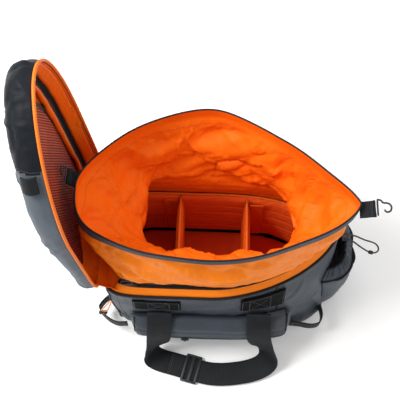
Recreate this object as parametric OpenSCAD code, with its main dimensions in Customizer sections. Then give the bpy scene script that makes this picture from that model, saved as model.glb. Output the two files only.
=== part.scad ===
// Camera bag with an end-hinged zip lid, a roll-out collar, a padded insert with two
// dividers, a front pocket, a webbing handle and a bottle pocket with a drawcord.
// Millimetres. Z is up, X runs from the lid's hinge end to the nose, +Y is the back.
// Origin: on the bottom face, on the line of the front-to-back middle of the base.

/* [Body] */
// Distance from the origin to the flat hinge end
hinge_end = 165; // [130:1:200]
// Distance from the origin to the rounded nose at the rim
nose = 196; // [150:1:230]
// Height of the body's rim above the floor
rim_z = 190; // [140:1:240]
// Thickness of the outer shell fabric with its foam
shell_t = 3; // [2:0.5:6]
// Thickness of the orange lining
lining_t = 1.5; // [1:0.5:3]

/* [Lid] */
// How far the lid is open in the modelled pose, from closed
lid_open = 97;  // [0:1:110]
// Height of the closed lid above the rim
lid_h = 46; // [30:1:60]

/* [Collar] */
// Height of the roll-out collar's mouth above the floor
mouth_z = 327; // [280:1:360]
// Height of the stiffened hem band round the mouth
hem_h = 23; // [12:1:30]

/* [Insert] */
// Thickness of the padded insert walls
pad_t = 10; // [6:1:14]
// Top of the padded insert above the floor
insert_z = 150; // [110:1:165]
// Thickness of each divider
divider_t = 8; // [5:1:10]
// Middle of the left divider
divider_left_x = -54; // [-90:1:-30]
// Middle of the right divider
divider_right_x = 53; // [30:1:80]

/* [Straps] */
// Width of the handle webbing
handle_w = 38; // [25:1:45]
// Width of the small webbing tabs and corner loops
tab_w = 25; // [20:1:30]
// Thickness of all webbing
web_t = 2.2; // [1.5:0.1:3]

/* [Drawcord] */
// Diameter of the elastic drawcord
cord_d = 2.6; // [2:0.1:4]

/* [Hidden] */
$fn = 32;
seg = 72;                 // points round each fabric ring
gap = 0.5;                // free space between neighbouring soft parts
ORANGE = [0.93, 0.39, 0.08];
DEEP = [0.70, 0.20, 0.08];
GREY = [0.25, 0.27, 0.30];
BLACK = [0.07, 0.07, 0.08];

// One fabric outline: height, left and right reach, middle line, front and back reach,
// corner sharpness at front left, back left, front right, back right, then skew.
function outline(z, l, r, yc, f, b, e, k = 0) = [z, l, r, yc, f, b, e, k];
RIM_E = [9, 9, 1.7, 2.3];
BODY = [
    outline(4, 159, 182, 0, 100, 86, [6, 6, 4, 4]),
    outline(14, 163, 188, 0, 105, 91, [6, 6, 4, 4]),
    outline(60, 165, 190, 3, 111, 91, [6, 6, 3.2, 3.5]),
    outline(95, 165, 192, 6, 118, 90, [7, 7, 2.7, 3]),
    outline(150, 165, 194, 12, 125, 86, [8, 8, 2.1, 2.6]),
    outline(rim_z - 4.4, hinge_end, nose, 16, 130, 81, RIM_E)
];
function rim_at(z) = outline(z, hinge_end, nose, 16, 130, 81, RIM_E);
INSERT_E = [8, 8, 2.4, 2.6];
function insert_at(z) = outline(z, 148, 168, 4, 94, 77, INSERT_E);
function mouth_at(z) = outline(z, 196, 202, -6.5, 103, 138, [2.6, 1.6, 1.45, 1.25], -0.04);

function spow(v, p) = v < 0 ? -pow(-v, p) : pow(v, p);
function corner(c, s, e) = c < 0 ? (s < 0 ? e[0] : e[1]) : (s < 0 ? e[2] : e[3]);
// A point of an outline at angle a, drawn in by ins; the hinge end never moves out.
function at(o, a, ins = 0) =
    let(c = cos(a), s = sin(a), p = 2 / corner(c, s, o[6]),
        x = c < 0 ? (o[1] - max(ins, 0)) * spow(c, p) : (o[2] - ins) * spow(c, p))
    [x, o[3] + o[7] * x + (s < 0 ? o[4] - ins : o[5] - ins) * spow(s, p), o[0]];
function ring(o, ins = 0) = [for (j = [0:seg - 1]) at(o, 360 * j / seg, ins)];
function lerp(a, b, t) = a + (b - a) * t;
function blend_ring(o, p, t, z, ins_o, ins_p) = [for (j = [0:seg - 1])
    let(q = lerp(at(o, 360 * j / seg, ins_o), at(p, 360 * j / seg, ins_p), t)) [q[0], q[1], z]];

// A closed skin over a stack of rings. Rings run anticlockwise seen from ahead.
module skin(rings, loop = false) {
    n = len(rings[0]);
    m = len(rings);
    function id(i, j) = (i % m) * n + (j % n);
    sides = [for (i = [0:(loop ? m - 1 : m - 2)], j = [0:n - 1], h = [0, 1])
        h == 0 ? [id(i, j), id(i + 1, j), id(i + 1, j + 1)]
               : [id(i, j), id(i + 1, j + 1), id(i, j + 1)]];
    ends = loop ? [] : [[for (j = [0:n - 1]) j], [for (j = [n - 1:-1:0]) (m - 1) * n + j]];
    polyhedron([for (r = rings) for (p = r) p], concat(sides, ends), convexity = 8);
}
// A fabric band round an outline between two angles. Each corner of its section is
// [inset, height]; sections run outer-low, inner-low, inner-high, outer-high.
module band(o, a0, a1, sec, steps = 60) {
    skin([for (i = [0:steps]) let(a = lerp(a0, a1, i / steps))
        [for (c = sec) let(p = at(o, a, c[0])) [p[0], p[1], c[1]]]]);
}
module full_band(o, sec) {
    skin([for (i = [0:seg - 1]) [for (c = sec)
        let(p = at(o, 360 * i / seg, c[0])) [p[0], p[1], c[1]]]], loop = true);
}
// A strip of webbing: centres, width directions and a half width.
function unit(v) = v / norm(v);
module strap(c, w, half, t) {
    n = len(c);
    skin([for (i = [0:n - 1])
        let(tn = unit(c[min(i + 1, n - 1)] - c[max(i - 1, 0)]),
            wd = unit(w[i] - tn * (w[i] * tn)), nm = cross(tn, wd))
        [c[i] + wd * half + nm * t / 2, c[i] - wd * half + nm * t / 2,
         c[i] - wd * half - nm * t / 2, c[i] + wd * half - nm * t / 2]]);
}
// A round cord along its points.
module cord(c, d, sides = 8, loop = false) {
    n = len(c);
    function nx(i) = loop ? c[(i + 1) % n] : c[min(i + 1, n - 1)];
    function pv(i) = loop ? c[(i + n - 1) % n] : c[max(i - 1, 0)];
    skin([for (i = [0:n - 1])
        let(t = unit(nx(i) - pv(i)),
            u = unit(cross(abs(t[2]) < 0.9 ? [0, 0, 1] : [0, 1, 0], t)), v = cross(t, u))
        [for (k = [0:sides - 1]) c[i] + (u * cos(360 * k / sides) + v * sin(360 * k / sides)) * d / 2]],
        loop);
}
// Smooth points through a few given ones.
function spline(p, k) = concat([for (i = [0:len(p) - 2], j = [0:k - 1])
    let(t = j / k, a = p[max(i - 1, 0)], b = p[i], c = p[i + 1], d = p[min(i + 2, len(p) - 1)])
    0.5 * (2 * b + (c - a) * t + (2 * a - 5 * b + 4 * c - d) * t * t
        + (3 * b - 3 * c + d - a) * t * t * t)], [p[len(p) - 1]]);

// The front wall's y at a given x and height, for what is sewn onto it.
function level(z, i = 0) = i >= len(BODY) - 2 || z < BODY[i + 1][0] ? i : level(z, i + 1);
function wall_y(x, z) =
    let(i = level(z), a = BODY[i], b = BODY[i + 1], t = (z - a[0]) / (b[0] - a[0]),
        reach = lerp(x < 0 ? a[1] : a[2], x < 0 ? b[1] : b[2], t),
        e = lerp(corner(x, -1, a[6]), corner(x, -1, b[6]), t))
    lerp(a[3], b[3], t) - lerp(a[4], b[4], t) * pow(1 - pow(min(abs(x) / reach, 1), e), 1 / e);
// A patch on the front wall, from off to off + t in front of it.
module wall_patch(x0, x1, z0, z1, off, t, steps = 8) {
    zs = [for (k = [0:4]) lerp(z0, z1, k / 4)];
    skin([for (i = [0:steps]) let(x = lerp(x0, x1, i / steps)) concat(
        [for (z = zs) [x, wall_y(x, z) - off - t, z]],
        [for (k = [4:-1:0]) [x, wall_y(x, zs[k]) - off, zs[k]]])]);
}

// The lid is drawn closed and turned about its hinge line.
HINGE = [-hinge_end - 0.5, -80, rim_z + 0.5];
HINGE_LEAN = 2.4;         // the seam runs down a little towards the back
module opened() {
    translate(HINGE) rotate(a = -lid_open, v = [0, cos(HINGE_LEAN), -sin(HINGE_LEAN)])
        translate(-HINGE) children();
}
DOME = [[4.6, 0], [18, -1.5], [32, 3], [lid_h - 5, 12], [lid_h, 28], [lid_h + 2, 50]];
function dome(ins, drop) = [for (d = DOME)
    ring(rim_at(rim_z + d[0] - (d[0] < 5 ? 0 : drop)), d[1] + ins)];
module dome_shell(ins, t) {
    outer = dome(ins, ins);
    inner = dome(ins + t, ins + t);
    n = len(DOME);
    skin(concat([for (i = [n - 1:-1:0]) inner[i]], outer));
}
tape_z = rim_z + 26;      // the lid's zip, above the rim when closed
mesh_z = rim_z + 33;
MESH = [[-145.5, -78], [-137, -89], [-118, -95.5], [-30, -95.5], [58, -83], [112, -58],
        [138, -36], [140, -14], [128, 18], [112, 40], [60, 60], [0, 70], [-60, 74],
        [-118, 74], [-141, 64], [-145.5, 48]];

// Points of the handle and which way its width runs, from the left end to the right.
HANDLE = [
    [[-80, -118.5, 130], [1, 0, 0]], [[-80, -121, 121], [1, 0, 0]],
    [[-80, -134, 110], [1, 0, 0]], [[-81, -144.5, 92], [1, 0, 0]],
    [[-82, -147, 74], [1, 0.15, 0]], [[-84, -149, 56], [0.95, 0.35, 0]],
    [[-90, -151, 38], [0.8, 0.6, 0.1]], [[-95, -153, 22], [0.6, 0.8, 0.2]],
    [[-93, -157, 11], [0.35, 0.93, 0.15]], [[-84, -161, 6], [0.25, 1, 0.05]],
    [[-72, -164.5, 5], [0.24, 0.97, 0]], [[-38, -172.87, 5], [0.24, 0.97, 0]],
    [[-5, -181, 5], [0.24, 0.97, 0]], [[20, -182.5, 5], [0, 1, 0]],
    [[44, -180, 5], [-0.12, 1, 0]], [[66, -175.5, 5.5], [-0.25, 1, 0]],
    [[84, -169, 8], [-0.4, 1, 0.05]], [[95, -161, 15], [-0.6, 0.8, 0.2]],
    [[96, -154, 28], [-0.75, 0.65, 0.2]], [[91, -149.5, 44], [-0.85, 0.5, 0.1]],
    [[83, -147, 62], [-0.97, 0.2, 0]],
    [[77, -144.5, 88], [-1, 0, 0]], [[75, -134, 108], [-1, 0, 0]],
    [[74, -120, 120], [-1, 0, 0]], [[74, -116, 130], [-1, 0, 0]]
];
SLIDER = [-29, -175.09, 5]; // middle of the handle's length adjuster

// The front pocket: how far it stands off the wall at each height, and where along X.
POCKET = [[40, 14], [46, 24], [64, 29], [86, 30], [100, 22], [113, 8]];
POCKET_X = [-128, -124, -118, -100, -80, -60, -40, -20, 0, 20, 40, 60, 80, 86, 92, 108, 118,
            124, 128];
function pocket_y(x, z) = wall_y(x, z) - 1.5 - lookup(z, POCKET) * pocket_round(x);
function pocket_round(x) = x < -118 ? 0.55 + 0.45 * (x + 128) / 10
    : x > 118 ? 0.55 + 0.45 * (128 - x) / 10 : 1;

POCKET_END = 150;         // where the bottle pocket's outline starts
function bottle_at(z, r) = outline(z, 40, r, 5, 64, 64, [3, 3, 3, 3]);
BOTTLE = [bottle_at(6, 62), bottle_at(16, 71), bottle_at(70, 79), bottle_at(122, 75)];
CUFF = [bottle_at(122, 75), outline(130, 40, 69, 5, 60, 60, [3, 3, 3, 3]),
        outline(138, 40, 60, 5, 50, 50, [3, 3, 3, 3])];
module bottle_stack(rows, ins, z0, z1) {
    translate([POCKET_END, 0, 0]) skin([for (i = [0:len(rows) - 1]) let(o = rows[i])
        ring(outline(i == 0 ? z0 : i == len(rows) - 1 ? z1 : o[0],
            o[1], o[2], o[3], o[4], o[5], o[6]), ins)]);
}
module body_block(grow) {
    skin(concat([ring(outline(-1, 159, 182, 0, 100, 86, [6, 6, 4, 4]), -grow)],
        [for (o = BODY) ring(o, -grow)], [ring(rim_at(rim_z + 1), -grow)]));
}

// The drawcord's loop, from the cord lock out and back.
CORD = [[214, 15.5, 143], [220, 15.5, 142.8], [228, 14, 141.4], [236, 11.5, 139.4],
        [244, 9.5, 137], [252, 8.5, 134.4], [259, 6.5, 132.2], [263.5, 2, 130.8],
        [264, -3.5, 130.2], [260, -8, 130.6], [253, -9.5, 132.2], [246, -8, 134.4],
        [238, -4.5, 137], [230, 0, 139.6], [222, 5, 141.8], [214, 8.5, 143]];

FL = -130;                // first and last angle of the zip, short of the hinge end
FR = 130;

/* Sub-parts */
module base_panel() color(BLACK)
    skin([ring(outline(0, 155, 178, 0, 96, 82, [6, 6, 4, 4])),
          ring(outline(3.8, 159, 182, 0, 100, 86, [6, 6, 4, 4]))]);

module outer_shell() color(GREY) {
    n = len(BODY);
    skin(concat([for (o = BODY) ring(o)],
        [for (i = [n - 1:-1:0]) let(o = BODY[i])
            ring(i == 0 ? outline(o[0] + shell_t, o[1], o[2], o[3], o[4], o[5], o[6]) : o,
                shell_t)]));
}
function lower(o, d) = outline(o[0] + d, o[1], o[2], o[3], o[4], o[5], o[6]);
module lining() color(DEEP) {
    n = len(BODY);
    a = shell_t + 0.8;
    skin(concat([for (i = [0:n - 1]) ring(i == 0 ? lower(BODY[i], a) : BODY[i], a)],
        [for (i = [n - 1:-1:0]) ring(i == 0 ? lower(BODY[i], a + lining_t) : BODY[i],
            a + lining_t)]));
}
module insert_floor() color(DEEP)
    skin([ring(outline(9.6, 137, 156, 4, 83, 66, INSERT_E)),
          ring(outline(17, 137, 156, 4, 83, 66, INSERT_E))]);
module insert_wall() color(ORANGE)
    full_band(insert_at(0), [[0, 12], [pad_t, 12], [pad_t, insert_z], [0, insert_z]]);

module divider(x, y0, y1) {
    translate([x - divider_t / 2, y0, 17.6]) hull() for (c = [[3, 3], [y1 - y0 - 3, 3],
        [3, insert_z - 22], [y1 - y0 - 3, insert_z - 22]])
        translate([0, c[0], c[1]]) rotate([0, 90, 0]) cylinder(r = 3, h = divider_t);
}
module divider_left() color(ORANGE) divider(divider_left_x, -79, 69.5);
module divider_right() color(ORANGE) divider(divider_right_x, -73, 65);
// The hook-and-loop tab that turns along the back wall from each divider's end.
module flange(x, s, y) translate([x, y, 28]) rotate([90, 0, 0]) linear_extrude(3)
    translate([s < 0 ? -24 : 0, 0]) offset(3) offset(-3) square([24, insert_z - 34]);
module divider_left_tab() color(ORANGE)
    flange(divider_left_x - divider_t / 2, -1, 69);
module divider_right_tab() color(ORANGE)
    flange(divider_right_x + divider_t / 2, 1, 63);

module rim_piping() color(BLACK)
    full_band(rim_at(0), [[-1.5, rim_z - 4], [3, rim_z - 4], [3, rim_z - 0.1], [-1.5, rim_z - 0.1]]);
module rim_facing() color(ORANGE)
    band(rim_at(0), FL, FR, [[3.4, rim_z + 0.4], [5.2, rim_z + 0.4], [12.8, rim_z + 10.5],
        [11.2, rim_z + 11.5]]);
module rim_zip() color(BLACK)
    band(rim_at(0), FL, FR, [[12, rim_z + 12], [15.5, rim_z + 12], [15.5, rim_z + 14.5],
        [12, rim_z + 14.5]]);

// The collar: a fabric sleeve from inside the rim, in to a throat, then up to a pointed mouth.
THROAT = outline(0, 114, 119, 0, 66, 80, [4, 5, 2.8, 2.6]);
throat_z = rim_z + 26;
function smooth(t) = let(u = min(max(t, 0), 1)) u * u * (3 - 2 * u);
function sleeve(z, d) = z < throat_z
    ? blend_ring(rim_at(0), THROAT, smooth((z - rim_z - 4) / (throat_z - rim_z - 4)), z, 20 + d, d)
    : blend_ring(THROAT, mouth_at(0), pow((z - throat_z) / (mouth_z - throat_z), 0.9), z, d, d);
module tube(zs, d, t) skin(concat([for (z = zs) sleeve(z, d)],
    [for (i = [len(zs) - 1:-1:0]) sleeve(zs[i], d + t)]), loop = true);
module collar() color(ORANGE)
    tube([rim_z - 12, 198, 204, 210, throat_z, 226, 240, 260, 282, 304, mouth_z], 2.2, 2.4);
module collar_hem() color(GREY) tube([mouth_z - hem_h, mouth_z - 12, mouth_z], 0, 1.5);

// Webbing tab at each pointed end of the mouth, with a bent wire hook.
module tab_left() color(BLACK) strap([[-199.6, 15, 317], [-204, 15.4, 320], [-208, 16, 324.5]],
    [[0, 1, 0], [0, 1, 0], [0, 1, 0]], tab_w / 2, web_t);
module tab_right() color(BLACK) strap([[205.4, -20, 319], [213, -19.5, 320.5], [221, -19, 322]],
    [[0, 1, 0], [0, 1, 0], [0, 1, 0]], tab_w / 2, web_t);
module hook(sx) cord([for (p = spline([[0.2, -11], [0.2, 11], [2, 13], [5, 12], [8, 8.5],
    [14, 7.5], [18, 4], [18.5, -1], [16, -5], [11.5, -5.5], [9.2, -2]], 3))
    [p[0] * sx, p[1], 0]], 2.6, 8);
module hook_left() color(BLACK)
    translate([-209.4, 16, 326.4]) rotate([0, 78, 0]) hook(-1);
module hook_right() color(BLACK)
    translate([223, -19, 322.6]) rotate([0, -8, 0]) hook(1);

module lid_piping() color(ORANGE) opened()
    full_band(rim_at(0), [[-1.5, rim_z + 1], [2.5, rim_z + 1], [2.5, rim_z + 4.3], [-1.5, rim_z + 4.3]]);
module lid_shell() color(GREY) opened() dome_shell(0, 2.8);
module lid_lining() color(ORANGE) opened() dome_shell(2.8 + gap, lining_t);
module lid_tape() color(BLACK) opened()
    band(rim_at(0), FL, FR, [[9.4, tape_z], [14, tape_z], [14, tape_z + 1.4], [9.4, tape_z + 1.4]]);
module lid_zip() color(BLACK) opened()
    band(rim_at(0), FL, FR, [[14.3, tape_z - 1], [17.5, tape_z - 1], [17.5, tape_z + 2.2],
        [14.3, tape_z + 2.2]]);
module lid_mesh_pocket() color([0.35, 0.13, 0.08]) opened()
    translate([0, 0, mesh_z]) linear_extrude(1.6) offset(4) offset(-4) polygon(MESH);
module lid_mesh_binding() color(BLACK) opened() strap(
    [for (p = [[113.5, 43.5], [62, 63.8], [1, 73.8], [-60, 77.8], [-114, 77.8]])
        [p[0], p[1], mesh_z + 0.8]],
    [[0.35, 1, 0], [0.25, 1, 0], [0.12, 1, 0], [0, 1, 0], [0, 1, 0]], 3, 2.4);
module lid_light_loop() color(BLACK) opened() strap(
    [[119.6, -82.2, rim_z + 12], [121, -84.6, rim_z + 16], [122, -86, rim_z + 22],
     [120.6, -84, rim_z + 28], [119, -80.2, rim_z + 32]],
    [for (i = [0:4]) [0.86, 0.5, 0]], 12, web_t);

module front_pocket() color(GREY)
    skin([for (x = POCKET_X) let(n = len(POCKET)) concat(
        [for (p = POCKET) [x, pocket_y(x, p[0]), p[0]]],
        [for (i = [n - 1:-1:0]) [x, wall_y(x, POCKET[i][0]) - 1.5, POCKET[i][0]]])]);
module pocket_zip() color(BLACK)
    skin([for (x = [for (x = POCKET_X) if (abs(x) <= 100) x])
        let(lo = min(pocket_y(x, 74), pocket_y(x, 64) + (pocket_y(x, 86) - pocket_y(x, 64)) * 0.45),
            hi = min(pocket_y(x, 79), pocket_y(x, 64) + (pocket_y(x, 86) - pocket_y(x, 64)) * 0.7))
        [[x, lo - 1.9, 74], [x, lo - 0.7, 74], [x, hi - 0.7, 79], [x, hi - 1.9, 79]]]);
module hook_patch() color(BLACK)
    skin([for (x = [86, 92, 108, 118]) [
        [x, pocket_y(x, 88) - 3.2, 88], [x, pocket_y(x, 88) - 1, 88],
        [x, pocket_y(x, 100) - 1, 101], [x, pocket_y(x, 112) - 0.6, 113.4],
        [x, pocket_y(x, 112) - 2.4, 114.6], [x, pocket_y(x, 100) - 3, 102]]]);
module handle_anchor_left() color(BLACK) wall_patch(-120, -46, 133, 176, 1.2, 3);
module handle_anchor_right() color(BLACK) wall_patch(44, 112, 133, 176, 1.2, 3);
module handle_webbing() color(BLACK)
    strap([for (h = HANDLE) h[0]], [for (h = HANDLE) h[1]], handle_w / 2, web_t);
// Ladder-lock adjuster: a flat frame round the webbing with a middle bar over it.
module handle_slider() color(BLACK) translate(SLIDER)
    rotate([0, 0, -13.84]) difference() {
    hull() for (s = [-1, 1], q = [-1, 1]) translate([11 * s, (handle_w / 2 + 2) * q, -4.4])
        cylinder(r = 2.5, h = 8.4);
    translate([-20, -handle_w / 2 - 0.7, -1.9]) cube([40, handle_w + 1.4, 3.8]);
    for (s = [-1, 1]) translate([6.2 * s - 2.6, -handle_w / 2 - 0.7, -1])
        cube([5.2, handle_w + 1.4, 8]);
}

// Bottle pocket on the nose end: an open-topped sleeve closed against the body.
module bottle_pocket() color(GREY) difference() {
    bottle_stack(BOTTLE, 0, 6, 122);
    bottle_stack(BOTTLE, 2.5, 9, 130);
    body_block(gap);
}
module bottle_cuff() color(BLACK) difference() {
    bottle_stack(CUFF, 0, 122.4, 138);
    bottle_stack(CUFF, 2, 122, 139);
    body_block(gap);
}
module cord_lock_body() color(BLACK) translate([203, 12, 143]) rotate([0, 90, 0])
    difference() {
        hull() for (s = [-1, 1]) translate([0, 3.5 * s, 0]) cylinder(d = 9, h = 11);
        translate([0, 0, -1]) cylinder(d = 5.2, h = 7);
    }
module cord_lock_button() color([0.12, 0.12, 0.13]) translate([196, 12, 143])
    rotate([0, 90, 0]) union() {
        cylinder(d = 8, h = 2.6);
        translate([0, 0, 2.6]) cylinder(d = 4.6, h = 6);
    }
module drawcord() color([0.2, 0.2, 0.21]) cord(CORD, cord_d, 8);
module cord_bead() color(BLACK) translate([251, -9.1, 132.8]) rotate([0, 107, -8])
    translate([0, 0, -3.5]) cylinder(d = 6.4, h = 7);

// Webbing loops at the lower corners for a shoulder strap.
module strap_loop_right() color(BLACK) strap(
    spline([[131, -102.6, 41], [146, -103.6, 41], [166, -107, 41], [182, -103, 41],
        [188, -88, 41], [181, -70, 41]], 3), [for (i = [0:15]) [0, 0, -1]], tab_w / 2, web_t);
module strap_loop_left() color(BLACK) strap(
    spline([[-169, -68, 41], [-180, -82, 41], [-186, -98, 41], [-176, -111, 41],
        [-158, -115, 41], [-136, -112, 41]], 3), [for (i = [0:15]) [0, 0, -1]], tab_w / 2, web_t);

// Zip slider on the rim's coil, with a swinging puller.
module rim_slider() color(BLACK) translate([-118, -99.5, rim_z + 15])
    hull() for (s = [-1, 1]) translate([4 * s, 0, 0]) cylinder(r = 4, h = 3);
module rim_puller() color([0.45, 0.46, 0.48]) translate([-118, -99.5, rim_z + 18.2])
    hull() { cylinder(r = 2.5, h = 1.6); translate([-20, 0, 0]) cylinder(r = 4, h = 1.6); }
// Cord pull that hangs from the zip's end at the front corner, with its grip.
module pull_cord() color(ORANGE) cord(spline([[-151, -121, 187], [-154, -121.5, 178],
    [-161, -122, 160], [-167, -122.5, 146], [-164, -122.5, 141], [-159, -122.5, 144],
    [-154, -122, 160], [-150, -121.5, 178], [-147.5, -121, 187]], 2), 2, 8);
module pull_grip() color(BLACK) translate([-163.5, -122.5, 140.4]) rotate([0, 20, 0])
    hull() for (s = [-1, 1]) translate([4 * s, 0, -9]) cylinder(r = 2.6, h = 7);

// Zip slider on the front pocket.
module pocket_slider() color(BLACK) translate([-40, pocket_y(0, 76) - 2.9, 76.5])
    rotate([90, 0, 0]) hull() for (s = [-1, 1]) translate([3 * s, 0, 0]) cylinder(r = 3.4, h = 2.6);

base_panel();
outer_shell();
lining();
insert_floor();
insert_wall();
divider_left();
divider_left_tab();
divider_right();
divider_right_tab();
rim_piping();
rim_facing();
rim_zip();
rim_slider();
rim_puller();
pull_cord();
pull_grip();
collar();
collar_hem();
tab_left();
hook_left();
tab_right();
hook_right();
lid_shell();
lid_lining();
lid_piping();
lid_tape();
lid_zip();
lid_mesh_pocket();
lid_mesh_binding();
lid_light_loop();
front_pocket();
pocket_zip();
pocket_slider();
hook_patch();
handle_anchor_left();
handle_anchor_right();
handle_webbing();
handle_slider();
bottle_pocket();
bottle_cuff();
cord_lock_body();
cord_lock_button();
drawcord();
cord_bead();
strap_loop_left();
strap_loop_right();
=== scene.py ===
"""Looks of the camera bag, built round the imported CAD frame. Metres, Z up, -Y is the front."""
import math

import bpy
import bmesh
import numpy as np
from mathutils import Matrix, Vector, noise
from mathutils.bvhtree import BVHTree


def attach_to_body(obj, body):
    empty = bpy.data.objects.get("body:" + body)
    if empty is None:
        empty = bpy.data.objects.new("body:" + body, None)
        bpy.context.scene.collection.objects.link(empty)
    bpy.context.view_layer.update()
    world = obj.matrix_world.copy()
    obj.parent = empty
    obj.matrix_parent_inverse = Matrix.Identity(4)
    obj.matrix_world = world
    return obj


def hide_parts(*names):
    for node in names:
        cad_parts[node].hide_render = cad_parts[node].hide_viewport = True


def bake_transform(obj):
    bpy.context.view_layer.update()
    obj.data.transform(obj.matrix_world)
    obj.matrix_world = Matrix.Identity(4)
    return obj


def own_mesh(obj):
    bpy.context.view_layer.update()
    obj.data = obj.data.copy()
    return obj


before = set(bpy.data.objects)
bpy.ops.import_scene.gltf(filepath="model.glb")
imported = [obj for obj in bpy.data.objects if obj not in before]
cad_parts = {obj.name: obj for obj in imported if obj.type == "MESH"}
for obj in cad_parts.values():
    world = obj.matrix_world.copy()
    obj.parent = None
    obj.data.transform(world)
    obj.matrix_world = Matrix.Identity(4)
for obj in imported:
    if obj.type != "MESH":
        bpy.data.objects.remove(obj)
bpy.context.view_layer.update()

MM = 0.001
SCENE = bpy.context.scene

# ---------------------------------------------------------------- outlines, as in the CAD
RIM_Z, THROAT_Z, MOUTH_Z = 190, 216, 327
SHELL_T, LINING_T = 3.0, 1.5
RIM_E = (9, 9, 1.7, 2.3)
INSERT_E = (8, 8, 2.4, 2.6)
# height, left, right, middle line, front, back, corner sharpness, skew
BODY = [
    (0, 155, 178, 0, 96, 82, (6, 6, 4, 4), 0),
    (1.6, 157.5, 180.5, 0, 98.5, 84.5, (6, 6, 4, 4), 0),
    (4, 159.5, 182.5, 0, 100.5, 86.5, (6, 6, 4, 4), 0),
    (14, 163, 188, 0, 105, 91, (6, 6, 4, 4), 0),
    (60, 165, 190, 3, 111, 91, (6, 6, 3.2, 3.5), 0),
    (95, 165, 192, 6, 118, 90, (7, 7, 2.7, 3), 0),
    (150, 165, 194, 12, 125, 86, (8, 8, 2.1, 2.6), 0),
    (185.6, 165, 196, 16, 130, 81, RIM_E, 0),
]
RIM = (RIM_Z, 165, 196, 16, 130, 81, RIM_E, 0)
THROAT = (0, 114, 119, 0, 66, 80, (4, 5, 2.8, 2.6), 0)
MOUTH = (0, 196, 202, -6.5, 103, 138, (2.6, 1.6, 1.45, 1.25), -0.04)
INSERT = (0, 148, 168, 4, 94, 77, INSERT_E, 0)
# Angles at the landmarks of every outline, and how many columns lie between them.
MARKS = [(0, 90, 80), (90, 135, 44), (135, 180, 26), (180, 225, 26), (225, 270, 44),
         (270, 360, 80)]
COLS = sum(m[2] for m in MARKS)


def outline_at(o, angles, ins=0.0):
    """Points of an outline (mm, x and y) at angles in degrees, drawn in by ins."""
    a = np.radians(np.asarray(angles, float))
    c, s = np.cos(a), np.sin(a)
    c[np.abs(c) < 1e-12] = 0
    s[np.abs(s) < 1e-12] = 0
    e = np.where(c < 0, np.where(s < 0, o[6][0], o[6][1]), np.where(s < 0, o[6][2], o[6][3]))
    x = np.where(c < 0, -(o[1] - max(ins, 0)) * np.abs(c) ** (2 / e),
                 (o[2] - ins) * np.abs(c) ** (2 / e))
    y = o[3] + o[7] * x + np.where(s < 0, -(o[4] - ins), o[5] - ins) * np.abs(s) ** (2 / e)
    return np.stack([x, y], -1)


def lengths(p):
    """The distance along a line of points, at each of them."""
    return np.concatenate([[0], np.cumsum(np.linalg.norm(np.diff(p, axis=0), axis=1))])


def pick(p, run, s):
    """Values of p, known at the distances run, at the distances s."""
    return np.stack([np.interp(s, run, p[:, k]) for k in range(p.shape[1])], -1)


def evenly(p, n):
    """A line of points as n points, evenly spaced."""
    run = lengths(p)
    return pick(p, run, np.linspace(0, run[-1], n))


def resample(p, n):
    """A grid's rows, each as n evenly spaced points."""
    return np.array([evenly(r, n) for r in p])


def shut(line):
    """A line of points carried on to its own start."""
    return np.concatenate([line, line[:1]])


def ring(o, ins=0.0):
    """COLS points of an outline, evenly spaced between its landmarks, in mm."""
    return np.concatenate([evenly(outline_at(o, np.linspace(a0, a1, 400), ins), n + 1)[:-1]
                           for a0, a1, n in MARKS])


def smooth(t):
    """Zero to one as t goes from zero to one, level at both ends."""
    t = np.clip(t, 0, 1)
    return t * t * (3 - 2 * t)


def lift(xy, z):
    """Flat points at the height z."""
    return np.concatenate([xy, np.full((len(xy), 1), float(z))], 1)


def loft(rows, zs):
    """Rings at heights zs through the given (z, ring) rows, smooth between them."""
    z0 = np.array([r[0] for r in rows], float)
    p = np.array([r[1] for r in rows], float)
    g = np.gradient(p, z0, axis=0)
    out = []
    for z in zs:
        i = int(np.clip(np.searchsorted(z0, z) - 1, 0, len(z0) - 2))
        h = z0[i + 1] - z0[i]
        t = min(max((z - z0[i]) / h, 0), 1)
        q = ((2 * t**3 - 3 * t**2 + 1) * p[i] + (t**3 - 2 * t**2 + t) * h * g[i]
             + (3 * t**2 - 2 * t**3) * p[i + 1] + (t**3 - t**2) * h * g[i + 1])
        out.append(lift(q, z))
    return np.array(out) * MM


def mouth_ring(d=0.0):
    """The mouth's outline, rounded where its front and back arcs peak."""
    q = ring(MOUTH, d)
    soft = q.copy()
    for _ in range(60):
        soft = (soft * 2 + np.roll(soft, 1, 0) + np.roll(soft, -1, 0)) / 4
    w = smooth((np.abs(q[:, 1] - MOUTH[3]) - 45) / 50)[:, None]
    return q * (1 - w) + soft * w


def sleeve(z, d=0.0):
    """The collar's ring at height z, drawn in by d, in mm."""
    if z < THROAT_Z:
        a, b = ring(RIM, 20 + d), ring(THROAT, d)
        t = smooth((z - RIM_Z - 4) / (THROAT_Z - RIM_Z - 4))
    else:
        a, b = ring(THROAT, d), mouth_ring(d)
        t = min((z - THROAT_Z) / (MOUTH_Z - 16 - THROAT_Z), 1) ** 0.9
    return lift(a + (b - a) * t, z)


def normals(p, closed=True):
    """Outward normals of a grid of points (rows up, columns anticlockwise from above)."""
    if closed:
        du = np.roll(p, -1, 1) - np.roll(p, 1, 1)
    else:
        du = np.gradient(p, axis=1)
    dv = np.gradient(p, axis=0)
    n = np.cross(du, dv)
    return n / np.maximum(np.linalg.norm(n, axis=-1, keepdims=True), 1e-12)


def fbm(p, scale, seed=0.0, octaves=3, stretch=(1, 1, 1)):
    """Smooth noise in about -1 to 1 at each point; scale is per metre."""
    flat = p.reshape(-1, 3) * (np.array(stretch) * scale) + seed
    out = np.zeros(len(flat))
    for i, q in enumerate(flat):
        a, f, t = 1.0, 1.0, 0.0
        for _ in range(octaves):
            t += a * noise.noise(Vector(q * f))
            a *= 0.5
            f *= 2.1
        out[i] = t
    return out.reshape(p.shape[:-1])


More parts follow.
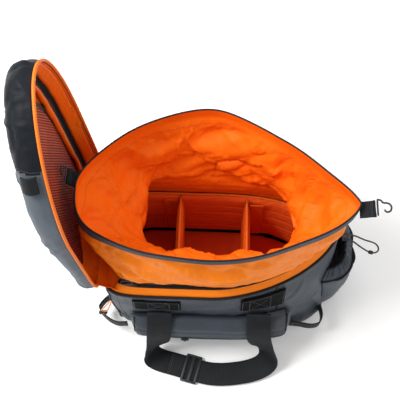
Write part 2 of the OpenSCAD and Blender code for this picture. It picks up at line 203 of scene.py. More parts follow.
# ---------------------------------------------------------------- meshes
def link(ob):
    SCENE.collection.objects.link(ob)
    return ob


def grid_faces(rows, cols, wrap=False):
    """Four-sided faces of a grid of points. Its columns go round, and its rows if asked."""
    return [(i * cols + j, i * cols + (j + 1) % cols,
             (i + 1) % rows * cols + (j + 1) % cols, (i + 1) % rows * cols + j)
            for i in range(rows if wrap else rows - 1) for j in range(cols)]


def finish_mesh(name, verts, faces, mat, uvs=None, vnormals=None):
    me = bpy.data.meshes.new(name)
    me.from_pydata([tuple(v) for v in verts], [], faces)
    me.validate()
    if uvs is not None:
        layer = me.uv_layers.new(name="UVMap")
        flat = np.array([c for f in uvs for c in f], np.float32).reshape(-1)
        if len(flat) == 2 * len(me.loops):
            layer.data.foreach_set("uv", flat)
    me.polygons.foreach_set("use_smooth", [True] * len(me.polygons))
    me.materials.append(mat)
    if vnormals is not None:
        me.normals_split_custom_set_from_vertices([tuple(n) for n in vnormals])
    me.update()
    return link(bpy.data.objects.new(name, me))


def skin(name, p, t, mat, closed=True, both=None, own_normals=False, n=None):
    """A grid of points as cloth of thickness t (metres), behind the given face.
    both gives the second face's points instead of t."""
    rows, cols = p.shape[:2]
    n = normals(p, closed) if n is None else n
    q = p - n * t if both is None else both
    verts = np.concatenate([p.reshape(-1, 3), q.reshape(-1, 3)])
    seg_u = np.linalg.norm(np.diff(np.concatenate([p, p[:, :1]], 1), axis=1), axis=2).mean(0)
    uu = np.concatenate([[0], np.cumsum(seg_u)])
    vv = np.concatenate([[0], np.cumsum(np.linalg.norm(np.diff(p, axis=0), axis=2).mean(1))])
    faces, uvs = [], []

    def add(corners, flip=False, du=0.0, dv=0.0):
        """One face from corners (row, column, side); du and dv move its second side's map."""
        way = -1 if flip else 1
        faces.append(tuple((k * rows + i) * cols + j % cols for i, j, k in corners)[::way])
        uvs.append(tuple((uu[j] + du * k, vv[i] + dv * k) for i, j, k in corners)[::way])

    last = cols if closed else cols - 1
    for i in range(rows - 1):
        for j in range(last):
            add([(i, j, 0), (i, j + 1, 0), (i + 1, j + 1, 0), (i + 1, j, 0)])
            add([(i + 1, j, 1), (i + 1, j + 1, 1), (i, j + 1, 1), (i, j, 1)])
    for i in (0, rows - 1):
        for j in range(last):
            add([(i, j, 0), (i, j + 1, 0), (i, j + 1, 1), (i, j, 1)], i == 0, dv=0.002)
    if not closed:
        for j in (0, cols - 1):
            for i in range(rows - 1):
                add([(i, j, 0), (i + 1, j, 0), (i + 1, j, 1), (i, j, 1)], j > 0, du=0.002)
    vn = np.concatenate([n.reshape(-1, 3), -n.reshape(-1, 3)]) if own_normals else None
    return finish_mesh(name, verts, faces, mat, uvs, vn)


def stack(name, rows, mat, loop=False):
    """A closed skin over rings of points; end rings close on their middles."""
    rows = [np.asarray(r, float) for r in rows]
    n, m = len(rows[0]), len(rows)
    verts = np.concatenate(rows)
    uu = lengths(shut(rows[m // 2]))
    gaps = [np.linalg.norm(b - a, axis=1).mean() for a, b in zip(rows[:-1], rows[1:])]
    run = np.concatenate([[0], np.cumsum(gaps)])
    beyond = np.append(run[1:], run[-1] + 0.003)
    faces = grid_faces(m, n, wrap=loop)
    uvs = [((run[i], uu[j]), (run[i], uu[j + 1]), (beyond[i], uu[j + 1]), (beyond[i], uu[j]))
           for i in range(m if loop else m - 1) for j in range(n)]
    for i in () if loop else (0, m - 1):
        mid = len(verts)
        verts = np.concatenate([verts, rows[i].mean(0)[None]])
        for j in range(n):
            a, b = i * n + j, i * n + (j + 1) % n
            faces.append((a, mid, b) if i == 0 else (a, b, mid))
            uvs.append(((0, 0), (0.001, 0), (0, 0.001)))
    return finish_mesh(name, verts, faces, mat, uvs)


def spline(points, k, loop=False):
    """Smooth points through the given ones, k for each span."""
    p = np.array(points, float)
    n = len(p)
    out = []
    for i in range(n if loop else n - 1):
        a, b = p[(i - 1) % n] if loop else p[max(i - 1, 0)], p[i]
        c = p[(i + 1) % n]
        d = p[(i + 2) % n] if loop else p[min(i + 2, n - 1)]
        for j in range(k):
            t = j / k
            out.append(0.5 * (2 * b + (c - a) * t + (2 * a - 5 * b + 4 * c - d) * t**2
                              + (3 * b - 3 * c + d - a) * t**3))
    if not loop:
        out.append(p[-1])
    return np.array(out)


def tangents(p, loop=False):
    """Unit vectors along a line of points."""
    t = (np.roll(p, -1, 0) - np.roll(p, 1, 0)) if loop else np.gradient(p, axis=0)
    return t / np.maximum(np.linalg.norm(t, axis=1, keepdims=True), 1e-12)


def across(t):
    """A unit vector square to the unit vector t, level unless t is nearly upright."""
    up = np.array([0, 0, 1.0]) if abs(t[2]) < 0.9 else np.array([0, 1.0, 0])
    u = np.cross(up, t)
    return u / np.linalg.norm(u)


def circle(u, v, sides):
    """Points round a circle of radius one in the plane of u and v."""
    a = np.arange(sides) * 2 * math.pi / sides
    return np.cos(a)[:, None] * u + np.sin(a)[:, None] * v


def tube(name, pts, r, mat, sides=10, loop=False):
    """A round tube along points; r is one radius or one for each point."""
    p = np.array(pts, float)
    t = tangents(p, loop)
    rr = np.broadcast_to(np.asarray(r, float), (len(p),))
    u = across(t[0])
    rings = []
    for i in range(len(p)):
        u = u - t[i] * (u @ t[i])
        u /= np.linalg.norm(u)
        rings.append(p[i] + rr[i] * circle(u, np.cross(t[i], u), sides))
    return stack(name, rings, mat, loop=loop)


# Half of webbing's section, as fractions of its half width and half thickness.
SELVEDGE = [(-1, 0), (-0.97, 0.7), (-0.9, 1), (-0.5, 1), (0, 1), (0.5, 1), (0.9, 1), (0.97, 0.7)]


def strap(name, centres, widths, half, t, mat, k):
    """Flat webbing along centres, its width along widths, with rounded selvedges."""
    c = spline(centres, k)
    w = spline(widths, k)
    tn = tangents(c)
    sect = SELVEDGE + [(-a, -b) for a, b in SELVEDGE]
    rings = []
    for i in range(len(c)):
        wd = w[i] - tn[i] * (w[i] @ tn[i])
        wd /= np.linalg.norm(wd)
        nm = np.cross(tn[i], wd)
        rings.append(np.array([c[i] - wd * half * a + nm * (t / 2 * b) for a, b in sect]))
    return stack(name, rings, mat)


def remove(ob):
    me = ob.data
    bpy.data.objects.remove(ob)
    bpy.data.meshes.remove(me)


def points_of(ob):
    """A piece's points and its normals there."""
    vertices = ob.data.vertices
    return np.array([v.co for v in vertices]), np.array([v.normal for v in vertices])


def move_points(ob, co):
    ob.data.vertices.foreach_set("co", co.reshape(-1))
    ob.data.update()


def relax(p, pinned, frames, shrink, gravity, bend, stiff, cap):
    """Cloth simulation of a closed grid of points with pinned ones; returns where it
    settles. A point moves at most cap metres."""
    me = bpy.data.meshes.new("cloth")
    me.from_pydata([tuple(v) for v in p.reshape(-1, 3)], [], grid_faces(*p.shape[:2]))
    ob = link(bpy.data.objects.new("cloth", me))
    moved = run_cloth(ob, pinned.reshape(-1), frames, shrink, gravity, bend, stiff, None)
    remove(ob)
    return hold(p, moved.reshape(p.shape), cap)


def hold(p, q, cap):
    """Points moved from p towards q, by less than cap."""
    d = q - p
    far = np.linalg.norm(d, axis=-1, keepdims=True)
    return p + d * np.where(far > 1e-9, cap * np.tanh(far / cap) / np.maximum(far, 1e-9), 1)


def run_cloth(ob, pinned, frames, shrink, gravity, bend, stiff, pressure):
    """Where an object's points stand after some frames as cloth."""
    group = ob.vertex_groups.new(name="pin")
    group.add([int(i) for i in np.nonzero(pinned >= 0.5)[0]], 1.0, "REPLACE")
    mod = ob.modifiers.new("Cloth", "CLOTH")
    s = mod.settings
    s.quality = 5
    s.mass = 0.12
    s.tension_stiffness = stiff
    s.compression_stiffness = stiff
    s.shear_stiffness = stiff * 0.5
    s.bending_stiffness = bend
    s.tension_damping = 8
    s.compression_damping = 8
    s.air_damping = 3
    s.vertex_group_mass = "pin"
    s.shrink_min = shrink
    s.effector_weights.gravity = gravity
    if pressure:
        s.use_pressure = True
        s.uniform_pressure_force = pressure
    mod.collision_settings.use_collision = False
    mod.collision_settings.use_self_collision = False
    mod.point_cache.frame_start = 1
    mod.point_cache.frame_end = frames
    for f in range(1, frames + 1):
        SCENE.frame_set(f)
    dg = bpy.context.evaluated_depsgraph_get()
    ev = ob.evaluated_get(dg)
    out = np.empty(len(ev.data.vertices) * 3, np.float32)
    ev.data.vertices.foreach_get("co", out)
    SCENE.frame_set(1)
    return out.reshape(-1, 3).astype(float)


def apply_modifiers(ob):
    """Puts the modifiers' result in place of an object's mesh."""
    old = ob.data
    dg = bpy.context.evaluated_depsgraph_get()
    ob_mesh = bpy.data.meshes.new_from_object(ob.evaluated_get(dg))
    ob.modifiers.clear()
    ob.data = ob_mesh
    bpy.data.meshes.remove(old)


def puff(name, verts, faces, mat, pressure, cap, voxel):
    """A closed form remeshed, swelled by cloth pressure, and smoothed once."""
    me = bpy.data.meshes.new(name)
    me.from_pydata([tuple(v) for v in verts], [], faces)
    ob = link(bpy.data.objects.new(name, me))
    mod = ob.modifiers.new("Remesh", "REMESH")
    mod.mode = "VOXEL"
    mod.voxel_size = voxel
    apply_modifiers(ob)
    rest = np.array([v.co for v in ob.data.vertices])
    moved = run_cloth(ob, np.zeros(len(rest)), 18, 0.0, 0.0, 0.6, 12, pressure)
    ob.modifiers.clear()
    ob.vertex_groups.clear()
    move_points(ob, hold(rest, moved, cap))
    sub = ob.modifiers.new("Sub", "SUBSURF")
    sub.levels = sub.render_levels = 1
    apply_modifiers(ob)
    fine = ob.data
    fine.polygons.foreach_set("use_smooth", [True] * len(fine.polygons))
    fine.materials.clear()
    fine.materials.append(mat)
    return ob


def place(ob, body, slot, *nodes):
    """A piece rides on a body and stands for CAD nodes. Its slot is not used."""
    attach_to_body(ob, body)
    if nodes:
        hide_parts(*nodes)
    return ob


# ---------------------------------------------------------------- materials
def srgb(r, g, b):
    def lin(c):
        c /= 255
        return c / 12.92 if c <= 0.04045 else ((c + 0.055) / 1.055) ** 2.4
    return (lin(r), lin(g), lin(b), 1)


class Nodes:
    """A material's node tree, with short calls for the nodes used here."""

    def __init__(self, name, rough, metallic=0.0):
        self.mat = bpy.data.materials.new(name)
        self.mat.use_nodes = True
        self.tree = self.mat.node_tree
        self.bsdf = self.tree.nodes["Principled BSDF"]
        self.bsdf.inputs["Roughness"].default_value = rough
        self.bsdf.inputs["Metallic"].default_value = metallic

    def new(self, kind, **settings):
        node = self.tree.nodes.new(kind)
        for key, v in settings.items():
            setattr(node, key, v)
        return node

    def wire(self, output, socket):
        self.tree.links.new(output, socket)

    def coords(self, which, scale, turn=0.0):
        tc = self.new("ShaderNodeTexCoord")
        m = self.new("ShaderNodeMapping")
        m.inputs["Scale"].default_value = scale
        m.inputs["Rotation"].default_value = (0, 0, turn)
        self.wire(tc.outputs[which], m.inputs[0])
        return m.outputs[0]

    def noise(self, scale, detail=3.0, stretch=(1, 1, 1), rough=0.55):
        n = self.new("ShaderNodeTexNoise")
        n.inputs["Scale"].default_value = scale
        n.inputs["Detail"].default_value = detail
        n.inputs["Roughness"].default_value = rough
        self.wire(self.coords("Object", stretch), n.inputs["Vector"])
        return n.outputs["Fac"]

    def wave(self, pitch, axis="X", turn=0.0):
        """Bands pitch metres apart over the UV map."""
        w = self.new("ShaderNodeTexWave")
        w.wave_type = "BANDS"
        w.bands_direction = axis
        w.wave_profile = "SIN"
        w.inputs["Scale"].default_value = 1.0
        w.inputs["Distortion"].default_value = 0.0
        k = 0.314 / pitch
        self.wire(self.coords("UV", (k, k, k), turn), w.inputs["Vector"])
        return w.outputs["Fac"]

    def maths(self, op, a, b):
        m = self.new("ShaderNodeMath", operation=op)
        for socket, x in zip(m.inputs, (a, b)):
            self.put(socket, x)
        return m.outputs[0]

    def put(self, socket, x):
        """Gives a socket a fixed value or another node's output."""
        if isinstance(x, (int, float, tuple)):
            socket.default_value = x
        else:
            self.wire(x, socket)

    def ramp(self, fac, stops):
        r = self.new("ShaderNodeValToRGB")
        for e, (pos, col) in zip(r.color_ramp.elements, stops):
            e.position, e.color = pos, col
        self.wire(fac, r.inputs[0])
        return r.outputs[0]

    def tones(self, fac, color, dark, light, at=(0.3, 0.7)):
        """A colour that drifts between a darker and a lighter one of its kind."""
        return self.ramp(fac, [(at[0], scaled(color, dark)), (at[1], scaled(color, light))])

    def step(self, fac, start, end, low=0.0, high=1.0):
        """Grey that rises from low to high between two values of fac."""
        return self.ramp(fac, [(start, (low,) * 3 + (1,)), (end, (high,) * 3 + (1,))])

    def mix(self, fac, a, b, blend="MIX"):
        m = self.new("ShaderNodeMix", data_type="RGBA", blend_type=blend)
        for socket, x in ((m.inputs[0], fac), (m.inputs[6], a), (m.inputs[7], b)):
            self.put(socket, x)
        return m.outputs[2]

    def bump(self, height, strength, distance, prior=None):
        b = self.new("ShaderNodeBump")
        b.inputs["Strength"].default_value = strength
        b.inputs["Distance"].default_value = distance
        self.wire(height, b.inputs["Height"])
        if prior is not None:
            self.wire(prior, b.inputs["Normal"])
        return b.outputs[0]

    def done(self, color, rough=None, normal=None, sheen=0.0, sheen_rough=0.4, tint=None):
        ends = (("Base Color", color), ("Roughness", rough), ("Normal", normal))
        for key, output in ends:
            if output is not None:
                self.wire(output, self.bsdf.inputs[key])
        self.bsdf.inputs["Sheen Weight"].default_value = sheen
        self.bsdf.inputs["Sheen Roughness"].default_value = sheen_rough
        if tint:
            self.bsdf.inputs["Sheen Tint"].default_value = tint
        return self.mat


def scaled(c, k):
    """A colour k times as bright."""
    return (min(c[0] * k, 1), min(c[1] * k, 1), min(c[2] * k, 1), 1)


def fabric(name, color, pitch, rough, weave, crease, sheen, variety, grain):
    """Woven cloth: crossed threads, slow colour drift and, if asked, fine creases."""
    m = Nodes(name, rough)
    over = m.maths("MAXIMUM", m.wave(pitch, "X"), m.wave(pitch, "Y"))
    drift = m.noise(grain, 4)
    col = m.tones(drift, color, 1 - variety, 1 + variety)
    col = m.mix(min(weave * 2, 1.0), col, m.step(over, 0.55, 1.0, 0.72), "MULTIPLY")
    normal = m.bump(over, weave, 0.0004)
    if crease:
        fold = m.noise(90, 5, (1, 1, 0.7), 0.6)
        ridge = m.maths("ABSOLUTE", m.maths("SUBTRACT", fold, 0.5), 0)
        normal = m.bump(ridge, crease, 0.006, normal)
    r = m.step(drift, 0.3, 0.7, rough - 0.06, rough + 0.08)
    # Oranges and near-blacks are matt; greys catch more of the light.
    matt = color[0] > 0.3 or color[2] < 0.02
    m.bsdf.inputs["Specular IOR Level"].default_value = 0.22 if matt else 0.45
    glint = tuple(0.35 + 0.65 * c for c in color[:3]) + (1,)
    m.bsdf.inputs["Specular Tint"].default_value = glint
    return m.done(col, r, normal, sheen, 0.45, scaled(color, 1.6))


def webbing(name, color, gloss=0.22):
    """Ribbed strap: ribs across, a rolled line near each edge, a little lint."""
    pitch = 0.0021
    m = Nodes(name, 0.62)
    lines = m.maths("MULTIPLY", m.wave(pitch * 1.8, "Y"), 0.35)
    cross = m.maths("MULTIPLY", m.wave(pitch, "X"), m.maths("ADD", lines, 0.65))
    col = m.tones(m.noise(35, 3), color, 0.82, 1.2, (0.3, 0.75))
    col = m.mix(0.75, col, m.step(cross, 0.1, 0.85, 0.5), "MULTIPLY")
    lint = m.maths("MULTIPLY", m.step(m.noise(900, 2), 0.62, 0.8), 0.18)
    col = m.mix(lint, col, scaled(color, 3.0))
    m.bsdf.inputs["Specular IOR Level"].default_value = gloss
    return m.done(col, None, m.bump(cross, 0.55, 0.0007), gloss / 2, 0.5, scaled(color, 3))


def plastic(name, color, rough=0.42):
    """Moulded nylon: fine spark-eroded grain, worn a little at the edges."""
    m = Nodes(name, rough)
    worn = m.noise(220, 4)
    edge = m.new("ShaderNodeNewGeometry").outputs["Pointiness"]
    rub = m.maths("MULTIPLY", m.step(edge, 0.52, 0.6), 0.35)
    col = m.tones(worn, color, 0.85, 1.2, (0.3, 0.75))
    col = m.mix(rub, col, scaled(color, 3.2))
    r = m.step(worn, 0.3, 0.7, rough - 0.08, rough + 0.1)
    return m.done(col, r, m.bump(m.noise(2600, 2), 0.25, 0.0003))


def metal(name, color, rough):
    """Painted or bare zinc with scratches."""
    m = Nodes(name, rough, 0.85)
    scratch = m.noise(600, 4, (1, 8, 1))
    col = m.tones(m.noise(150, 3), color, 0.8, 1.25, (0.35, 0.7))
    r = m.step(scratch, 0.35, 0.7, rough - 0.1, rough + 0.15)
    return m.done(col, r, m.bump(scratch, 0.12, 0.0002))


def braid(name, color, pitch=0.0016):
    """Braided cord: crossed diagonal strands."""
    m = Nodes(name, 0.55)
    over = m.maths("MAXIMUM", m.wave(pitch, "X", 0.7), m.wave(pitch, "X", -0.7))
    col = m.tones(m.noise(300, 3), color, 0.8, 1.2)
    col = m.mix(0.6, col, m.step(over, 0.4, 0.95, 0.5), "MULTIPLY")
    return m.done(col, None, m.bump(over, 0.5, 0.0005), 0.3)


def net(name, color, back, deep):
    """Ribbed mesh over lining, drawn in two tones: back is painted shade seen through the holes
    between ribs, and deep is painted shade low on the open lid.
    """
    m = Nodes(name, 0.7)
    ribs = m.wave(0.0036, "X")
    hole = m.maths("MULTIPLY", m.maths("SUBTRACT", 1.0, ribs),
                   m.maths("SUBTRACT", 1.0, m.wave(0.0026, "Y")))
    thread = m.tones(m.noise(30, 3), color, 0.8, 1.2)
    # Painted shade in the grooves between the ribs.
    shade = m.ramp(ribs, [(0.2, (0.12, 0.07, 0.06, 1)), (0.6, (1, 1, 1, 1))])
    thread = m.mix(0.95, thread, shade, "MULTIPLY")
    # The holes show back, a dark red that is painted shade of the cloth behind the net.
    col = m.mix(m.step(hole, 0.6, 0.9), thread, back)
    # Painted shade near the hinge: below 0.27 m on the open lid the net is multiplied by deep, and
    # the shade fades out by 0.40 m.
    height = m.new("ShaderNodeSeparateXYZ")
    m.wire(m.coords("Object", (1, 1, 1)), height.inputs[0])
    low = m.ramp(height.outputs["Z"], [(0.27, deep), (0.40, (1, 1, 1, 1))])
    col = m.mix(1.0, col, low, "MULTIPLY")
    return m.done(col, None, m.bump(ribs, 0.7, 0.0012))


def plush(name, color):
    """Hook-and-loop pile."""
    m = Nodes(name, 0.95)
    pile = m.noise(1400, 5, rough=0.8)
    col = m.tones(pile, color, 0.35, 1.9)
    normal = m.bump(m.noise(260, 4), 0.5, 0.0016, m.bump(pile, 0.9, 0.001))
    return m.done(col, None, normal, 0.8, 0.6, scaled(color, 3))


ORANGE = srgb(255, 113, 20)
SLATE = srgb(66, 73, 81)
# Cloths: name, colour, thread pitch, roughness, weave, creases, sheen, variety of
# colour, and how fine the drift of colour is.
M = {
    "shell": fabric("shell_grey", SLATE, 0.0011, 0.5, 0.16, 0.10, 0.15, 0.09, 40),
    "lid_dark": fabric("lid_charcoal", srgb(27, 30, 35), 0.0011, 0.46, 0.16, 0.22, 0.15, 0.12, 45),
    "lid_slate": fabric("lid_slate", srgb(84, 92, 101), 0.0011, 0.5, 0.16, 0.10, 0.15, 0.09, 40),
    "hem": fabric("hem_grey", srgb(54, 59, 66), 0.0013, 0.55, 0.3, 0.05, 0.2, 0.1, 50),
    "base": fabric("base_black", srgb(38, 40, 44), 0.0016, 0.6, 0.4, 0.0, 0.1, 0.12, 60),
    "orange": fabric("lining_orange", ORANGE, 0.0007, 0.40, 0.10, 0.34, 0.08, 0.06, 22),
    # Painted light: the lining's orange made lighter and yellower for the brightly lit outside of
    # the sleeve. The rim's facing strip and the sleeve's foot use it too.
    "slack": fabric("slack_orange_painted_light", srgb(255, 134, 26), 0.0007, 0.42, 0.10, 0.34, 0.05, 0.06, 22),
    "well": fabric("pad_well", srgb(255, 108, 40), 0.0010, 0.66, 0.2, 0.16, 0.3, 0.08, 30),
    # Painted shade: the floor pad is the wall's orange padding made darker and redder, for the shade
    # at the bottom of the well.
    "floor": fabric("pad_floor_painted_shade", srgb(238, 84, 34), 0.0010, 0.7, 0.2, 0.2, 0.3, 0.1, 26),
    "pad": fabric("pad_orange", srgb(244, 100, 28), 0.0010, 0.62, 0.2, 0.12, 0.35, 0.06, 30),
    # The net: its thread colour, back as painted shade seen through its holes, and deep as painted
    # shade near the lid's hinge.
    "mesh": net("mesh_brown", srgb(196, 78, 32), srgb(70, 20, 10), (0.55, 0.12, 0.12, 1)),
    "pipe": fabric("piping_black", srgb(34, 36, 40), 0.0012, 0.55, 0.35, 0, 0.1, 0.12, 90),
    "pipe_orange": fabric("piping_orange", srgb(252, 130, 46), 0.0010, 0.5, 0.2, 0, 0.2, 0.06, 60),
    "zip": fabric("zip_black", srgb(24, 25, 28), 0.0009, 0.6, 0.4, 0, 0.1, 0.15, 90),
    "coil": plastic("zip_coil", srgb(34, 35, 38), 0.35),
    "web": webbing("webbing_black", srgb(25, 29, 32)),
    # The handle's anchor patches: black webbing, coloured darker than the strap's webbing, partly as
    # painted shade under the collar's overhang.
    "patch": webbing("patch_black_painted_shade", srgb(15, 16, 19), gloss=0.05),
    "plastic": plastic("plastic_black", srgb(26, 28, 31)),
    "dark_metal": metal("metal_dark", srgb(58, 60, 64), 0.36),
    "metal": metal("metal_grey", srgb(96, 98, 102), 0.34),
    "cord": braid("cord_grey", srgb(62, 64, 68)),
    "cord_orange": braid("cord_orange", srgb(250, 128, 44)),
    "loop": plush("loop_black", srgb(58, 62, 67)),
    "gauze": fabric("gauze_black", srgb(30, 31, 34), 0.0022, 0.6, 0.9, 0.3, 0.15, 0.2, 120),
    "thread": braid("thread_black", srgb(70, 74, 80), 0.0008),
    "thread_orange": braid("thread_orange", srgb(214, 82, 26), 0.0008),
}


# ---------------------------------------------------------------- camera, floor and light
def make_camera():
    """The viewing angle: from above and in front, a long lens."""
    e, yaw, roll = math.radians(65.15), math.radians(1.38), math.radians(0.54)
    back = Vector((math.sin(yaw) * math.cos(e), -math.cos(yaw) * math.cos(e), math.sin(e)))
    data = bpy.data.cameras.new("camera")
    data.sensor_width = 36
    data.lens = 72.67
    data.clip_start, data.clip_end = 0.05, 20
    cam = link(bpy.data.objects.new("camera", data))
    target = Vector((-22.7, 46.8, 190)) * MM
    right = (-back).cross(Vector((0, 0, 1))).normalized()
    up = right.cross(-back)
    r = right * math.cos(roll) + up * math.sin(roll)
    u = up * math.cos(roll) - right * math.sin(roll)
    turn = Matrix((r, u, back)).transposed().to_4x4()
    cam.matrix_world = Matrix.Translation(target + back * 1.2588) @ turn
    SCENE.camera = cam


def area_light(name, place_at, aim, size, watts, colour=(1, 1, 1)):
    """A rectangular lamp at a place, aimed at a point; both in metres."""
    data = bpy.data.lights.new(name, "AREA")
    data.shape = "RECTANGLE"
    data.size, data.size_y = size
    data.energy = watts
    data.color = colour
    ob = link(bpy.data.objects.new(name, data))
    ob.location = place_at
    ob.rotation_mode = "QUATERNION"
    ob.rotation_quaternion = (Vector(aim) - Vector(place_at)).to_track_quat("-Z", "Y")


def make_stage():
    """A white paper floor, a pale sky and three soft lamps."""
    me = bpy.data.meshes.new("floor")
    w = 12
    me.from_pydata([(-w, -w, 0), (w, -w, 0), (w, w, 0), (-w, w, 0)], [], [(0, 1, 2, 3)])
    floor = link(bpy.data.objects.new("floor", me))
    m = Nodes("floor_paper", 0.9)
    m.bsdf.inputs["Specular IOR Level"].default_value = 0.1
    m.bsdf.inputs["Emission Color"].default_value = (1, 1, 1, 1)
    m.bsdf.inputs["Emission Strength"].default_value = 0.12
    me.materials.append(m.done(m.step(m.noise(8, 2), 0.3, 0.7, 0.93, 0.95)))
    world = bpy.data.worlds.new("studio")
    SCENE.world = world
    world.use_nodes = True
    bg = world.node_tree.nodes["Background"]
    bg.inputs[0].default_value = (1.0, 0.99, 0.98, 1)
    bg.inputs[1].default_value = 0.46
    area_light("key", (-1.05, -0.1, 1.65), (0, 0, 0.2), (0.7, 0.6), 33, (1, 0.99, 0.97))
    area_light("fill", (1.5, -0.6, 1.3), (0, 0, 0.15), (1.4, 1.2), 7)
    area_light("top", (0.1, 0.7, 1.9), (0, 0, 0.15), (1.6, 0.9), 10)
    SCENE.view_settings.view_transform = "Standard"


# ---------------------------------------------------------------- cords
# The elastic loop's middle line and its thickness, in mm.
CORD = [(214, 15.5, 143), (220, 15.5, 142.8), (228, 14, 141.4), (236, 11.5, 139.4),
        (244, 9.5, 137), (252, 8.5, 134.4), (259, 6.5, 132.2), (263.5, 2, 130.8),
        (264, -3.5, 130.2), (260, -8, 130.6), (253, -9.5, 132.2), (246, -8, 134.4),
        (238, -4.5, 137), (230, 0, 139.6), (222, 5, 141.8), (214, 8.5, 143)]
CORD_D = 2.6


def make_drawcord():
    """The bottle pocket's elastic loop, with a bead near its end."""
    path = spline(CORD, 4) * MM
    ob = place(tube("elastic_cord", path, CORD_D * MM / 2, M["cord"], 12), "bag", "cord_grey",
               "drawcord")
    bead = make_bead()


def lathe(name, profile, mat, origin, axis, sides=28):
    """Turned form: profile of (distance along the axis, radius) in mm."""
    ax = Vector(axis).normalized()
    u = ax.orthogonal().normalized()
    v = ax.cross(u)
    u, v, ax, o = (np.array(q) for q in (u, v, ax, origin))
    rings = [(o + ax * d + r * circle(u, v, sides)) * MM for d, r in profile]
    return stack(name, rings, mat)


def make_bead():
    """Barrel bead that holds the two strands at the loop's end."""
    prof = [(-3.5, 1.4), (-3.45, 2.2), (-3.1, 2.8), (-2.2, 3.1), (-1.2, 3.2), (-0.9, 2.85),
            (-0.5, 2.8), (-0.2, 3.2), (1.2, 3.2), (2.2, 3.1), (3.1, 2.8), (3.45, 2.2), (3.5, 1.4)]
    t = Vector((1, -0.14, -0.32))
    return place(lathe("drawcord_bead", prof, M["plastic"], (251, -9.1, 132.8), t), "bag",
                 "plastic_black", "cord_bead")


# ---------------------------------------------------------------- small shared pieces
def capsule(a, b, r, sides=6):
    """Rings of a short thread from a to b."""
    a, b = np.array(a, float), np.array(b, float)
    t = (b - a) / max(np.linalg.norm(b - a), 1e-9)
    u = across(t)
    c = circle(u, np.cross(t, u), sides)
    return [a + c * r * 0.45, a + t * r * 0.8 + c * r, b - t * r * 0.8 + c * r, b + c * r * 0.45]


def many(name, groups, mat):
    """One mesh of many closed stacks of rings."""
    verts, faces = [], []
    for rings in groups:
        n, base = len(rings[0]), len(verts)
        for r in rings:
            verts.extend(r)
        faces += [tuple(base + i for i in f) for f in grid_faces(len(rings), n)]
        faces.append(tuple(base + j for j in range(n))[::-1])
        faces.append(tuple(base + (len(rings) - 1) * n + j for j in range(n)))
    return finish_mesh(name, verts, faces, mat)


def thread_along(line, pitch, long, r):
    """Stitches along a line of points in metres; pitch, long and r are in mm."""
    line = np.asarray(line, float)
    run = lengths(line)
    pts = pick(line, run, np.arange(0, run[-1], pitch * MM))
    return [capsule(a, a + (b - a) * (long / pitch), r * MM) for a, b in zip(pts[:-1], pts[1:])]


def stitches(name, lines, mat, body, slot, pitch, long, r):
    """Rows of thread stitches along lines of points, as one piece."""
    groups = [g for line in lines for g in thread_along(line, pitch, long, r)]
    return place(many(name, groups, mat), body, slot)


def shifted(x, y, z):
    """A move by x, y and z millimetres."""
    return Matrix.Translation(Vector((x, y, z)) * MM)


def round_box(name, size, radius, mat, matrix):
    """A box with rounded edges; size in mm, matrix in metres."""
    bm = bmesh.new()
    bmesh.ops.create_cube(bm, size=1)
    for v in bm.verts:
        v.co = Vector((v.co.x * size[0], v.co.y * size[1], v.co.z * size[2])) * MM
    bmesh.ops.bevel(bm, geom=bm.edges[:], offset=radius * MM, segments=3, profile=0.5,
                    affect="EDGES")
    bm.transform(matrix)
    me = bpy.data.meshes.new(name)
    bm.to_mesh(me)
    bm.free()
    me.polygons.foreach_set("use_smooth", [True] * len(me.polygons))
    me.materials.append(mat)
    return link(bpy.data.objects.new(name, me))


def join(name, obs):
    """One object from several, each of one material."""
    data = bpy.data.meshes.new(name)
    bm = bmesh.new()
    mats = []
    for ob in obs:
        me = ob.data
        me.transform(ob.matrix_world)
        mat = me.materials[0]
        if mat not in mats:
            mats.append(mat)
        before = len(bm.faces)
        bm.from_mesh(me)
        bm.faces.ensure_lookup_table()
        for f in bm.faces[before:]:
            f.material_index = mats.index(mat)
            f.smooth = True
    bm.to_mesh(data)
    bm.free()
    for m in mats:
        data.materials.append(m)
    for ob in obs:
        remove(ob)
    return link(bpy.data.objects.new(name, data))


# A zip tooth: its outline across the tape, and its steps along it as (size, place).
TOOTH = [(-1, -0.6), (-0.6, -1), (0.6, -1), (1, -0.6), (1, 0.6), (0.6, 1), (-0.6, 1), (-1, 0.6)]
TOOTH_STEPS = [(0.82, -1), (0.9, -0.6), (0.9, 0.6), (0.82, 1)]


def teeth(name, line, ups, mat, body, slot, pitch=1.9, wide=3.4, high=1.5):
    """Zip teeth across a line; ups gives the way out of the tape at each point."""
    line, ups = np.asarray(line, float), np.asarray(ups, float)
    run = lengths(line)
    s = np.arange(pitch * MM, run[-1] - pitch * MM, pitch * MM)
    p = pick(line, run, s)
    groups = []
    for i, (q, up, t) in enumerate(zip(p, pick(ups, run, s), tangents(p))):
        up = up - t * (up @ t)
        up /= np.linalg.norm(up)
        w = np.cross(t, up) * wide * MM / 2
        h = up * high * MM / 2
        c = q + w * (0.18 if i % 2 else -0.18)
        groups.append([np.array([c + w * k * a + h * b for a, b in TOOTH])
                       + t * pitch * MM * 0.32 * step for k, step in TOOTH_STEPS])
    return place(many(name, groups, mat), body, slot)


# ---------------------------------------------------------------- the body
def row(o, z, ins=0.0):
    """An outline's ring with its height, for loft."""
    return (z, ring(o, ins))


